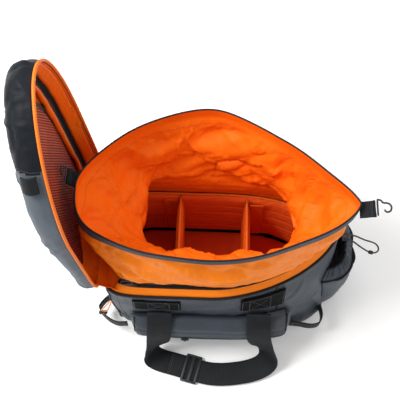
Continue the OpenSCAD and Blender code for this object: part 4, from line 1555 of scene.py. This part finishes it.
def lid_strip(name, p, t, mat, slot, *nodes):
    """A strip of cloth t mm thick, made on the closed lid and opened with it."""
    back = opened(p + normals(p, False) * t * MM)
    place(skin(name, opened(p), None, mat, closed=False, both=back), "lid", slot, *nodes)


def make_lid_edge():
    """Orange piping round the lid, and inside it the flap, the zip and a roll of lining."""
    sect = [(-1.0, 191.4), (-0.6, 190.9), (0.4, 190.7), (1.6, 190.9), (2.2, 191.8), (2.4, 193.4),
            (2.0, 194.6), (0.4, 194.9), (-0.5, 194.8), (-0.9, 194.0), (-1.2, 192.6)]
    rows = [opened(lift(ring(RIM, i), z) * MM) for i, z in sect]
    place(stack("lid_edge_binding", rows, M["pipe_orange"], loop=True), "lid", "piping_orange",
          "lid_piping")
    edge = opened(lift(ring(RIM, -1.4), 191.9) * MM)
    stitches("lid_edge_stitching", [shut(edge)], M["thread_orange"], "lid", "piping_orange",
             3.4, 2.3, 0.3)
    flap = rim_strip([(4.8, 197), (6.6, 200), (9.6, 204), (12.2, 208), (13.9, 211.4)],
                     seed=51.0, sway=1.2)
    lid_strip("lid_zip_flap", flap, 1.0, M["orange"], "lining_orange")
    tape = rim_strip([(14.0, 211.8), (15.0, 213.9), (16.6, 215.6), (18.8, 216.7), (21.6, 217.0)],
                     seed=61.0, sway=1.6)
    lid_strip("lid_zip_tape", tape, 0.8, M["zip"], "zip_black", "lid_tape")
    up = opened(tape[-1] + np.array([0, 0, -1.0]) * MM) - opened(tape[-1])
    ob = teeth("lid_zip_teeth", opened(tape[-1] + np.array([0, 0, -0.2]) * MM), up, M["coil"],
               "lid", "zip_black", 1.9, 3.2, 1.6)
    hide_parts("lid_zip")
    roll = rim_strip([(22.0, 218.2), (22.8, 216.4), (24.8, 215.2), (27.8, 215.8), (29.2, 218.4),
                      (28.6, 221.4)], seed=83.0, sway=2.4)
    lid_strip("lid_lining_roll", roll, 0.9, M["orange"], "lining_orange")


# The net's height and outline on the closed lid.
MESH_Z = RIM_Z + 33
MESH = [(-145.5, -78), (-137, -89), (-118, -95.5), (-30, -95.5), (58, -83), (112, -58),
        (138, -36), (140, -14), (128, 18), (112, 40), (60, 60), (0, 70), (-60, 74),
        (-118, 74), (-141, 64), (-145.5, 48)]


def open_out(ob):
    """Turns a piece made on the closed lid to where the lid stands open."""
    co, _ = points_of(ob)
    move_points(ob, opened(co))
    return ob


def make_lid_mesh():
    """Ribbed mesh pocket: a hanging net with a bound free edge."""
    outline = spline([(x, y, 0) for x, y in MESH], 8, loop=True)[:, :2]
    mid = np.array([-30.0, -20.0])
    rows = []
    per = evenly(shut(outline)[:, [0, 1, 1]], 221)[:-1, :2]
    for t in 1 - np.arange(31) / 30 * 0.98:
        q = mid + (per - mid) * t
        w = fbm(lift(q, 5.0) * MM, 15, 70.0, 3)
        z = MESH_Z + 0.8 - 0.92 * (1 - t ** 2) + w * 2.0 * (1 - t ** 6)
        rows.append(np.concatenate([q, z[:, None]], 1))
    p = np.array(rows) * MM
    r, c = p.shape[:2]
    low = p - np.array([0, 0, 1.1]) * MM
    verts = np.concatenate([opened(p).reshape(-1, 3), opened(low).reshape(-1, 3)])
    # The ribs run slantwise over the net, and so does its map.
    flat = p[..., :2].reshape(-1, 2) @ np.array([(0.50, 0.87), (0.87, -0.50)])
    faces = []
    for f in grid_faces(r, c) + [tuple((r - 1) * c + j for j in range(c))]:
        faces += [f, tuple(i + r * c for i in f[::-1])]
    for j in range(c):
        k = (j + 1) % c
        faces.append((k, j, j + r * c, k + r * c))
    uvs = [[tuple(flat[i % (r * c)]) for i in f] for f in faces]
    ob = finish_mesh("lid_mesh_net", verts, faces, M["mesh"], uvs)
    place(ob, "lid", "mesh_brown", "lid_mesh_pocket")
    z = MESH_Z + 0.6
    free = spline([(137, 14, z), (126, 32, z), (113.5, 43.5, z), (88, 54, z), (62, 63.8, z),
                   (30, 70, z), (1, 73.8, z), (-60, 77.4, z), (-116, 77.4, z)], 10) * MM
    place(mesh_edge("lid_mesh_edge", free, 3.0, 2.4), "lid", "piping_black", "lid_mesh_binding")
    near = spline([(141, -14, z), (139, -36, z), (112, -59, z), (84, -72, z), (58, -83, z),
                   (14, -90.5, z), (-30, -95, z)], 10)
    near[:, 1] += 2.4 * np.sin(near[:, 0] * 0.11)
    place(mesh_edge("lid_mesh_wide_binding", near * MM, 5.0, 3.2), "lid", "piping_black")


def mesh_edge(name, line, half, t):
    """Binding along a line on the closed lid, half its width and its thickness in mm."""
    widths = np.cross(tangents(line), (0, 0, 1))
    return open_out(strap(name, line[::4], widths[::4], half * MM, t * MM, M["pipe"], 4))


def make_lid_gussets():
    """Small webs of lining that close the corners between lid and body beside the hinge."""
    for side, a0, a1 in (("front", -177, -118), ("back", 177, 118)):
        angles = np.linspace(a0, a1, 60)
        low = lift(outline_at(RIM, angles, 4.6), 191.5) * MM
        high = opened(lift(outline_at(RIM, angles, 4.0), 196.0) * MM)
        t = np.linspace(0, 1, 22)
        p = np.array([low * (1 - u) + high * u + np.array([0.42, 0, -0.3]) * 0.05
                      * math.sin(math.pi * u) * np.linspace(0.1, 1, 60)[:, None] for u in t])
        n = normals(p, False)
        rim = (np.sin(math.pi * t) ** 0.6)[:, None]
        h = (fbm(p, 26, 11.0, 2) * 3.0 + rumple(p, 22, 4.0, 0.1) * 2.2) * rim
        p = p + n * (h * MM)[..., None]
        ob = skin("lid_gusset_" + side, p, 0.8 * MM, M["orange"], closed=False, n=n)
        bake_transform(ob)


def make_light_loop():
    """Webbing loop sewn to the lid's edge at both its ends."""
    c = np.array([(119.6, -82.2, 202), (121, -84.6, 206), (122, -86, 212), (120.6, -84, 218),
                  (119, -80.2, 222)])
    w = np.array([(0.86, 0.5, 0)] * 5)
    ob = open_out(strap("lid_light_webbing", c * MM, w, 12 * MM, 2.0 * MM, M["web"], 6))
    place(ob, "lid", "webbing_black", "lid_light_loop")
    face = np.array([0.5, -0.86, 0]) * 1.3
    lines = [opened([(c[i] + w[i] * s + face + (0, 0, z)) * MM for s in (-11, 11)])
             for i in (0, 4) for z in (-0.7, 0.7)]
    stitches("lid_light_stitching", lines, M["thread"], "lid", "webbing_black", 2.6, 1.8, 0.3)


# ---------------------------------------------------------------- front pocket and handle
def lerp(a, b, t):
    """The value t of the way from a to b."""
    return a + (b - a) * t


def wall_y(x, z):
    """The front wall's y at a given x and height, in mm, as in the CAD."""
    rows = BODY[2:]
    i = 0
    while i < len(rows) - 2 and z >= rows[i + 1][0]:
        i += 1
    a, b = rows[i], rows[i + 1]
    t = (z - a[0]) / (b[0] - a[0])
    reach = lerp(a[1] if x < 0 else a[2], b[1] if x < 0 else b[2], t)
    e = lerp(a[6][0] if x < 0 else a[6][2], b[6][0] if x < 0 else b[6][2], t)
    k = (1 - min(abs(x) / reach, 1) ** e) ** (1 / e)
    return lerp(a[3], b[3], t) - lerp(a[4], b[4], t) * k


# The front pocket's bulge: height, and how far it stands off the wall.
POCKET = [(40, 14), (46, 24), (64, 29), (86, 30), (100, 22), (113, 8)]


def pocket_y(x, z):
    """The front pocket's face, in mm."""
    off = float(np.interp(z, [p[0] for p in POCKET], [p[1] for p in POCKET]))
    end = min(1, 0.55 + 0.45 * (128 - abs(x)) / 10)
    return wall_y(x, z) - 1.5 - off * end


def pocket_front():
    """Closed form of the front pocket, with eased edges."""
    xs = np.concatenate([[-127, -125.5, -122], np.linspace(-117, 117, 60), [122, 125.5, 127]])
    zs = np.concatenate([[41, 42.5, 45], np.linspace(48, 108, 26), [110.5, 112.4]])
    rows = []
    for x in xs:
        soft = 1 - 0.5 * smooth((abs(x) - 116) / 11)
        face = [(x, wall_y(x, z) - 1.9 - (wall_y(x, z) - 1.5 - pocket_y(x, z) - 2.0) * soft, z)
                for z in zs]
        back = [(x, wall_y(x, z) - 1.9, z) for z in zs[::-2]]
        rows.append(np.array(face + back) * MM)
    return rows


def make_pocket():
    """The front pocket with its edges, its zip and the trim on it."""
    verts, faces = stack_data(pocket_front())
    ob = puff("front_pocket_shell", verts, faces, M["shell"], 2.6, 0.0034, 0.0045)
    co, nn = points_of(ob)
    x, z = co[:, 0] / MM, co[:, 2] / MM
    out = nn[:, 1] < 0.3
    crease = -np.exp(-((z - 95 - 3 * fbm(co, 12, 2.0, 2)) / 2.6) ** 2) * 1.3
    hollow = fbm(co, 17, 31.0, 3, (1, 1, 1.5)) * 1.1
    seam = -np.exp(-((z - 76.5) / 3.4) ** 2) * 1.6 * smooth((106 - np.abs(x)) / 6)
    rib = np.exp(-((z - 84) / 1.3) ** 2) * 0.5 - np.exp(-((z - 88.5) / 1.2) ** 2) * 0.5
    move_points(ob, co + nn * (np.where(out, crease + hollow + seam + rib, 0) * MM)[:, None])
    place(ob, "bag", "shell_grey", "front_pocket")
    surface = Surface(ob)
    edges = [[surface.front(x, z, 0.3) for z in np.linspace(45, 109, 40)]
             for x in (-119.5, 119.5)]
    tubes = [tube("edge", q, 1.25 * MM, M["pipe"], 8) for q in edges]
    place(join("front_pocket_edge", tubes), "bag", "piping_black")
    xs = np.linspace(-100, 100, 160)

    def across_front(dz, off):
        """A level line over the pocket, dz above its zip."""
        return np.array([surface.front(x, 76.5 + dz, off) for x in xs])

    tp = np.array([across_front(dz, off) for dz, off in (
        (-3.0, 0.5), (-1.2, 0.9), (1.2, 0.9), (3.0, 0.5))])
    place(skin("pocket_zip_tape", tp, None, M["zip"], closed=False,
               both=tp + np.array([0, 0.9, 0]) * MM), "bag", "zip_black", "pocket_zip")
    teeth("pocket_zip_teeth", across_front(0, 1.0), np.tile([[0, -1.0, 0.05]], (len(xs), 1)),
          M["coil"], "bag", "zip_black", 1.8, 2.8, 1.2)
    stitches("pocket_zip_stitching", [across_front(dz, 0.35) for dz in (-5.2, 5.2)],
             M["thread"], "bag", "shell_grey", 3.2, 2.2, 0.32)
    make_patch(surface)
    make_pocket_slider()


class Surface:
    """Finds points on a finished piece, so that trim lies on it."""

    def __init__(self, ob):
        me = ob.data
        self.tree = BVHTree.FromPolygons([v.co for v in me.vertices],
                                         [tuple(p.vertices) for p in me.polygons])

    def front(self, x, z, off):
        """The face met from the front at x and z (mm), off mm proud of it."""
        hit = self.tree.ray_cast(Vector((x, -260, z)) * MM, Vector((0, 1, 0)))
        if hit[0] is None:
            return np.array([x, wall_y(x, z) - 2, z]) * MM
        return np.array(hit[0] + hit[1] * off * MM * (1 if hit[1].y < 0 else -1))


def make_patch(surface):
    """Fuzzy square of loop cloth at the pocket's right shoulder."""
    p = np.array([[surface.front(x, z, 1.5) for x in np.linspace(87, 117, 26)]
                  for z in np.linspace(84, 111.5, 24)])
    place(skin("loop_square", p, None, M["loop"], closed=False,
               both=p + np.array([0, 1.7, 0]) * MM), "bag", "loop_black", "hook_patch")
    edge = np.concatenate([p[0], p[1:, -1], p[-1, ::-1][1:], p[::-1, 0][1:]])
    place(tube("loop_square_edge", edge, 0.9 * MM, M["pipe"], 8), "bag", "piping_black")


def make_pocket_slider():
    """The pocket's zip slider and its hanging pull."""
    y = pocket_y(0, 76) - 2.9
    base = shifted(-40, y - 1.3, 76.5)
    obs = [round_box("slider_face", (12.6, 1.4, 6.6), 0.6, M["dark_metal"],
                     base @ shifted(0, -0.5, 0)),
           round_box("slider_back", (12.0, 1.0, 6.2), 0.45, M["dark_metal"],
                     base @ shifted(0, 0.9, 0)),
           round_box("slider_post", (4, 2.0, 2.0), 0.5, M["dark_metal"], base)]
    pull = rounded_rect(5.4, 11, 2.6, 5)
    hole = rounded_rect(2.6, 8, 1.2, 5)
    rows = [np.array([(-40 + a, y + dy, 73.5 + b) for a, b in pts]) * MM
            for pts, dy in ((hole, -1.5), (pull, -1.5), (pull, -2.3), (hole, -2.3))]
    obs.append(stack("slider_pull", rows, M["dark_metal"], loop=True))
    place(join("pocket_zip_slider", obs), "pocket_slider", "metal_dark", "pocket_slider")


# The handle's middle line, and which way its width lies at each point.
HANDLE = [
    ((-80, -118.5, 130), (1, 0, 0)), ((-80, -121, 121), (1, 0, 0)),
    ((-80, -134, 110), (1, 0, 0)), ((-81, -144.5, 92), (1, 0, 0)),
    ((-82, -147, 74), (1, 0.15, 0)), ((-84, -149, 56), (0.95, 0.35, 0)),
    ((-90, -151, 38), (0.8, 0.6, 0.1)), ((-95, -153, 22), (0.6, 0.8, 0.2)),
    ((-93, -157, 11), (0.35, 0.93, 0.15)), ((-84, -161, 6), (0.25, 1, 0.05)),
    ((-72, -164.5, 5), (0.24, 0.97, 0)), ((-38, -172.87, 5), (0.24, 0.97, 0)),
    ((-5, -181, 5), (0.24, 0.97, 0)), ((20, -182.5, 5), (0, 1, 0)),
    ((44, -180, 5), (-0.12, 1, 0)), ((66, -175.5, 5.5), (-0.25, 1, 0)),
    ((84, -169, 8), (-0.4, 1, 0.05)), ((95, -161, 15), (-0.6, 0.8, 0.2)),
    ((96, -154, 28), (-0.75, 0.65, 0.2)), ((91, -149.5, 44), (-0.85, 0.5, 0.1)),
    ((83, -147, 62), (-0.97, 0.2, 0)),
    ((77, -144.5, 88), (-1, 0, 0)), ((75, -134, 108), (-1, 0, 0)),
    ((74, -120, 120), (-1, 0, 0)), ((74, -116, 130), (-1, 0, 0)),
]
SLIDER = Matrix.Translation(Vector((-29, -175.09, 5)) * MM) @ Matrix.Rotation(
    math.radians(-13.84), 4, "Z")


def on_handle(pts):
    """Points given along the straight stretch of webbing, from the adjuster's middle."""
    return np.array([SLIDER @ (Vector(q) * MM) for q in np.asarray(pts, float)])


def make_handle():
    """The webbing handle, its sewn ends and its adjuster."""
    c = np.array([h[0] for h in HANDLE], float) * MM
    w = np.array([h[1] for h in HANDLE], float)
    ob = strap("handle_strap", c, w, 19 * MM, 2.2 * MM, M["web"], 8)
    place(ob, "handle", "webbing_black", "handle_webbing")
    # The free end of the strap, doubled back under the adjuster.
    tail = np.array([(-38, 0, 2.3), (-27, 0, 2.6), (-18, 0, 2.4), (-13.5, 0, 1.6)])
    t = strap("handle_tail", on_handle(tail), on_handle(tail + (0, 1, 0)) - on_handle(tail),
              18.6 * MM, 1.9 * MM, M["web"], 6)
    place(t, "handle", "webbing_black")
    lines = [on_handle(np.array([(x, -17, 3.4), (x, 17, 3.4)])) for x in (-36.6, -33.6)]
    stitches("handle_tail_stitching", lines, M["thread"], "handle", "webbing_black", 2.8, 1.9,
             0.32)
    anchors()
    ladder_lock()


def anchors():
    """Webbing ends sewn flat to the wall with boxed crosses."""
    for side, x0, x1, mid, phase in (("left", -120, -46, -80, 1), ("right", 44, 112, 74, 0)):
        def proud(x, z):
            """How far the patch stands off the wall: less close to its edges."""
            return 1.6 + 1.9 * float(smooth(min(x - x0, x1 - x, z - 133, 176 - z) / 2.0))

        def face(x, z):
            wave = 0.35 * math.sin(x * 0.16 + phase) * math.sin(z * 0.13)
            return x, wall_y(x, z) - proud(x, z) - wave, z

        xs = np.linspace(x0 + 0.6, x1 - 0.6, 44)
        zs = np.linspace(133.6, 175.4, 24)
        p = np.array([[face(x, z) for x in xs] for z in zs]) * MM
        q = np.array([[(x, wall_y(x, z) - 1.25, z) for x in xs] for z in zs]) * MM
        ob = skin("handle_patch_" + side, p, None, M["patch"], closed=False, both=q)
        place(ob, "bag", "webbing_black", "handle_anchor_" + side)

        def seam(a, b):
            """Points over the patch from a to b, each given as x and z."""
            xz = [(lerp(a[0], b[0], t), lerp(a[1], b[1], t)) for t in np.linspace(0, 1, 24)]
            return np.array([(x, wall_y(x, z) - proud(x, z) - 0.3, z) for x, z in xz]) * MM

        def box(left, right, low, high):
            return [(left, low), (right, low), (right, high), (left, high)]

        inner = box(mid - 16, mid + 16, 138, 171)
        outer = box(x0 + 3.2, x1 - 3.2, 136.2, 172.8)
        lines = [seam(inner[i], inner[(i + 1) % 4]) for i in range(4)]
        lines += [seam(inner[0], inner[2]), seam(inner[1], inner[3])]
        lines += [seam(outer[i], outer[(i + 1) % 4]) for i in range(4)]
        stitches("handle_patch_stitching_" + side, lines, M["thread"], "bag", "webbing_black",
                 2.8, 1.9, 0.36)


def ladder_lock():
    """Three-bar adjuster with raised grip ridges on its middle bar."""
    # Name, size, edge radius and place of each bar.
    bars = [("middle_bar", (5.2, 42, 2.4), 1.1, (0, 0, 2.5))]
    for s in (-1, 1):
        bars += [("rail", (26.6, 4.2, 6.4), 1.7, (0, 21.2 * s, -0.6)),
                 ("rail_cheek", (12, 3.4, 8.0), 1.5, (0, 20.6 * s, -0.2)),
                 ("end_bar", (4.6, 42, 2.3), 1.05, (11.2 * s, 0, 2.4)),
                 ("end_foot", (4.4, 42, 2.0), 0.9, (11.2 * s, 0, -3.0))]
    bars += [("grip_ridge", (0.8, 33, 0.9), 0.35, (k * 1.05, 0, 3.5)) for k in range(-2, 3)]
    obs = [round_box(name, size, radius, M["plastic"], SLIDER @ shifted(*at))
           for name, size, radius, at in bars]
    place(join("ladder_lock", obs), "handle_slider", "plastic_black", "handle_slider")


# ---------------------------------------------------------------- bottle pocket and loops
def inside_body(x, y, z):
    """The body's outline at height z, 0.4 mm out: below one means the point is inside."""
    rows = BODY[2:] + [RIM]
    hs = [r[0] for r in rows]
    z = min(max(z, hs[0]), hs[-1])
    i = min(int(np.searchsorted(hs, z, side="right") - 1), len(rows) - 2)
    a, b = rows[i], rows[i + 1]
    t = (z - a[0]) / (b[0] - a[0])
    reach = lerp(a[2], b[2], t) + 0.4
    yc = lerp(a[3], b[3], t)
    depth = (lerp(a[4], b[4], t) if y < yc else lerp(a[5], b[5], t)) + 0.4
    k = 2 if y < yc else 3
    e = lerp(a[6][k], b[6][k], t)
    return (abs(x) / reach) ** e + (abs(y - yc) / depth) ** e


def bottle_ring(z, r, half):
    """The bottle pocket's outline, as a row of BODY, before it moves to its place."""
    return (z, 40, r, 5, half, half, (3.0, 3.0, 3.0, 3.0), 0)


BOTTLE_X = 150       # where the bottle pocket's outline is centred, right of the middle


def bottle_arc(o, z, ins=0.0, n=90):
    """The part of the pocket's outline that stands outside the body."""
    def cross(a_out, a_in):
        """The angle between a_out and a_in where the outline enters the body."""
        for _ in range(30):
            m = (a_out + a_in) / 2
            x, y = outline_at(o, [m], ins)[0]
            if inside_body(x + BOTTLE_X, y, z) > 1:
                a_out = m
            else:
                a_in = m
        return a_out

    angles = np.linspace(cross(0, -170), cross(0, 170), 500)
    return lift(evenly(outline_at(o, angles, ins) + [BOTTLE_X, 0], n), z)


# The bottle pocket's sleeve and cuff: height, reach to the right, half the depth.
BOTTLE = [(6, 62, 64), (16, 71, 64), (70, 79, 64), (122, 75, 64)]
CUFF = [(122, 75, 64), (130, 69, 60), (138, 60, 50)]


def make_bottle_pocket():
    """Side pocket for a bottle: cloth sleeve, gathered gauze cuff and crumpled gauze."""
    zs = np.concatenate([[6, 7.5, 10, 14], np.linspace(18, 118, 34), [121.6]])
    r = spline([(b[0], b[1], 0) for b in BOTTLE], 12)
    rows = [bottle_arc(bottle_ring(z, q, 64), z) for z, q in zip(zs, np.interp(zs, *r.T[:2]))]
    under = [lift(bottle_arc(bottle_ring(6, 62, 64), 6, k)[:, :2], z)
             for k, z in ((14, 5.8), (8, 5.7), (3, 6.0))]
    p = np.array(under + rows) * MM
    n = normals(p, False)
    z = p[..., 2] / MM
    u = np.linspace(0, 1, p.shape[1])[None, :]
    fade = smooth((z - 10) / 20) * np.sin(u * math.pi)
    gather = np.sin(u * 34 + fbm(p, 14, 9.0, 2) * 3) * smooth((z - 96) / 26) * 1.1
    dent = fbm(p, 13, 55.0, 3) * 3.0
    crease = -np.exp(-(fbm(p, 17, 66.0, 2, (1, 1, 1.4)) / 0.06) ** 2) * 1.3
    p = p + n * (((dent + crease) * fade + gather * np.sin(u * math.pi) ** 0.5) * MM)[..., None]
    place(skin("bottle_sleeve", p, 2.2 * MM, M["shell"], closed=False), "bag", "shell_grey",
          "bottle_pocket")
    edge = p[-1] + np.array([0, 0, 0.6]) * MM
    place(tube("bottle_sleeve_binding", edge, 1.6 * MM, M["pipe"], 10), "bag", "piping_black")
    stitches("bottle_sleeve_stitching", [p[-3] + n[-3] * 0.2 * MM], M["thread"], "bag",
             "shell_grey", 3.2, 2.2, 0.33)
    # The gauze cuff, gathered by the drawcord.
    zs = np.linspace(122.6, 137.8, 14)
    rc, hc = (np.interp(zs, [c[0] for c in CUFF], [c[k] for c in CUFF]) - 0.6 for k in (1, 2))
    rows = [bottle_arc(bottle_ring(z, a, b), z, 0, 150) for z, a, b in zip(zs, rc, hc)]
    q = np.array(rows) * MM
    m = normals(q, False)
    u = np.linspace(0, 1, q.shape[1])[None, :]
    k = smooth((q[..., 2] / MM - 122) / 9)
    gather = np.sin(u * 120 + np.sin(u * 23) * 2.5) * 1.5 * k + fbm(q, 60, 4.0, 2) * 1.2 * k
    q = q + m * (gather * MM)[..., None] * np.sin(u * math.pi)[..., None] ** 0.5
    place(skin("bottle_cuff_gauze", q, 0.9 * MM, M["shell"], closed=False), "bag", "mesh_brown",
          "bottle_cuff")
    # Crumpled black gauze, drawn together inside the mouth.
    bowl = [(1.2, 137.0), (4, 133), (8, 128), (13, 124), (19, 121.5), (26, 120), (34, 119)]
    w = np.array([bottle_arc(bottle_ring(z, 59, 49), z, ins, 150) for ins, z in bowl]) * MM
    w = resample(np.swapaxes(resample(np.swapaxes(w, 0, 1), 34), 0, 1), 150)
    wn = normals(w, False)
    k = smooth(np.linspace(0, 1, w.shape[0]) / 0.2)[:, None]
    tumble = (fbm(w, 42, 81.0, 3) * 5.0 + np.abs(fbm(w, 75, 18.0, 2)) * 3.0
              + rumple(w, 40, 7.0, 0.2) * 2.0)
    w = w + wn * (tumble * k * MM)[..., None]
    place(skin("bottle_gauze_crumple", w, 0.7 * MM, M["gauze"], closed=False), "bag", "mesh_brown")
    top = q[-1] + np.array([0, 0, 0.3]) * MM
    place(tube("bottle_cuff_hem", top, 1.9 * MM, M["pipe"], 10), "bag", "piping_black")
    cord_lock()


def cord_lock():
    """Spring lock: ribbed barrel with two cord holes and its plunger."""
    prof = [(0, 2.7), (0.1, 4.0), (0.5, 4.5), (3.0, 4.5), (3.4, 4.15), (4.2, 4.15), (4.6, 4.5),
            (6.4, 4.5), (6.8, 4.15), (7.6, 4.15), (8.0, 4.5), (10.2, 4.5), (10.8, 4.0),
            (11.0, 3.0)]
    obs = [lathe("barrel", prof, M["plastic"], (203, 12 + s, 143), (1, 0, 0), 24)
           for s in (-3.5, 3.5)]
    obs.append(round_box("barrel_web", (10.6, 7, 8.6), 0.8, M["plastic"],
                         shifted(208.5, 12, 143)))
    for y in (8.5, 15.5):
        obs.append(lathe("eyelet", [(-0.2, 1.6), (-0.2, 2.3), (0.35, 2.3), (0.5, 2.0),
                                    (0.5, 1.6)], M["dark_metal"], (213.6, y, 143), (1, 0, 0), 16))
    place(join("cord_lock_barrel", obs), "bag", "plastic_black", "cord_lock_body")
    prof = [(0, 2.4), (0.15, 3.4), (0.6, 3.9), (1.9, 4.0), (2.5, 3.7), (2.6, 2.3), (8.4, 2.3),
            (8.6, 1.8)]
    place(lathe("cord_lock_plunger", prof, M["plastic"], (196, 12, 143), (1, 0, 0), 24),
          "cord_lock_button", "plastic_black", "cord_lock_button")


def make_strap_loops():
    """A loop of webbing round each front corner, sewn down at both its ends."""
    for side, pts in (("right", [(131, -102.6, 41), (146, -103.6, 41), (164, -106, 41),
                                 (178, -102, 41), (183, -88, 41), (180, -71, 41)]),
                      ("left", [(-169, -68, 41), (-178, -77, 41), (-183, -89, 41),
                                (-171, -103, 41), (-154, -112, 41), (-136, -112, 41)])):
        c = spline(pts, 3) * MM
        ob = strap("corner_webbing_" + side, c, [(0, 0.02, -1)] * len(c), 12.5 * MM, 2.1 * MM,
                   M["web"], 4)
        place(ob, "bag", "webbing_black", "strap_loop_" + side)
        t = tangents(c)
        out = np.cross(t, (0, 0, -1)) * 1.25
        lines = []
        for i, way in ((0, 1), (-1, -1)):
            for step in (2.2, 5.0):
                a = c[i] + t[i] * way * step * MM
                lines += [[a + (out[i] * face + (0, 0, h)) * MM for h in (-11, 11)]
                          for face in (1, -1)]
        stitches("corner_stitching_" + side, lines, M["thread"], "bag", "webbing_black", 2.6, 1.8,
                 0.32)


# ---------------------------------------------------------------- build
make_camera()
make_drawcord()
make_stage()
make_base()
make_shell()
make_lining()
make_insert()
make_divider("left", -54, -79, 69.5, -1, 69)
make_divider("right", 53, -73, 65, 1, 63)
make_rim()
make_zip_hardware()
make_collar()
make_hooks()
make_lid_shell()
make_lid_lining()
make_lid_edge()
make_lid_mesh()
make_light_loop()
make_lid_gussets()
make_pocket()
make_handle()
make_bottle_pocket()
make_strap_loops()
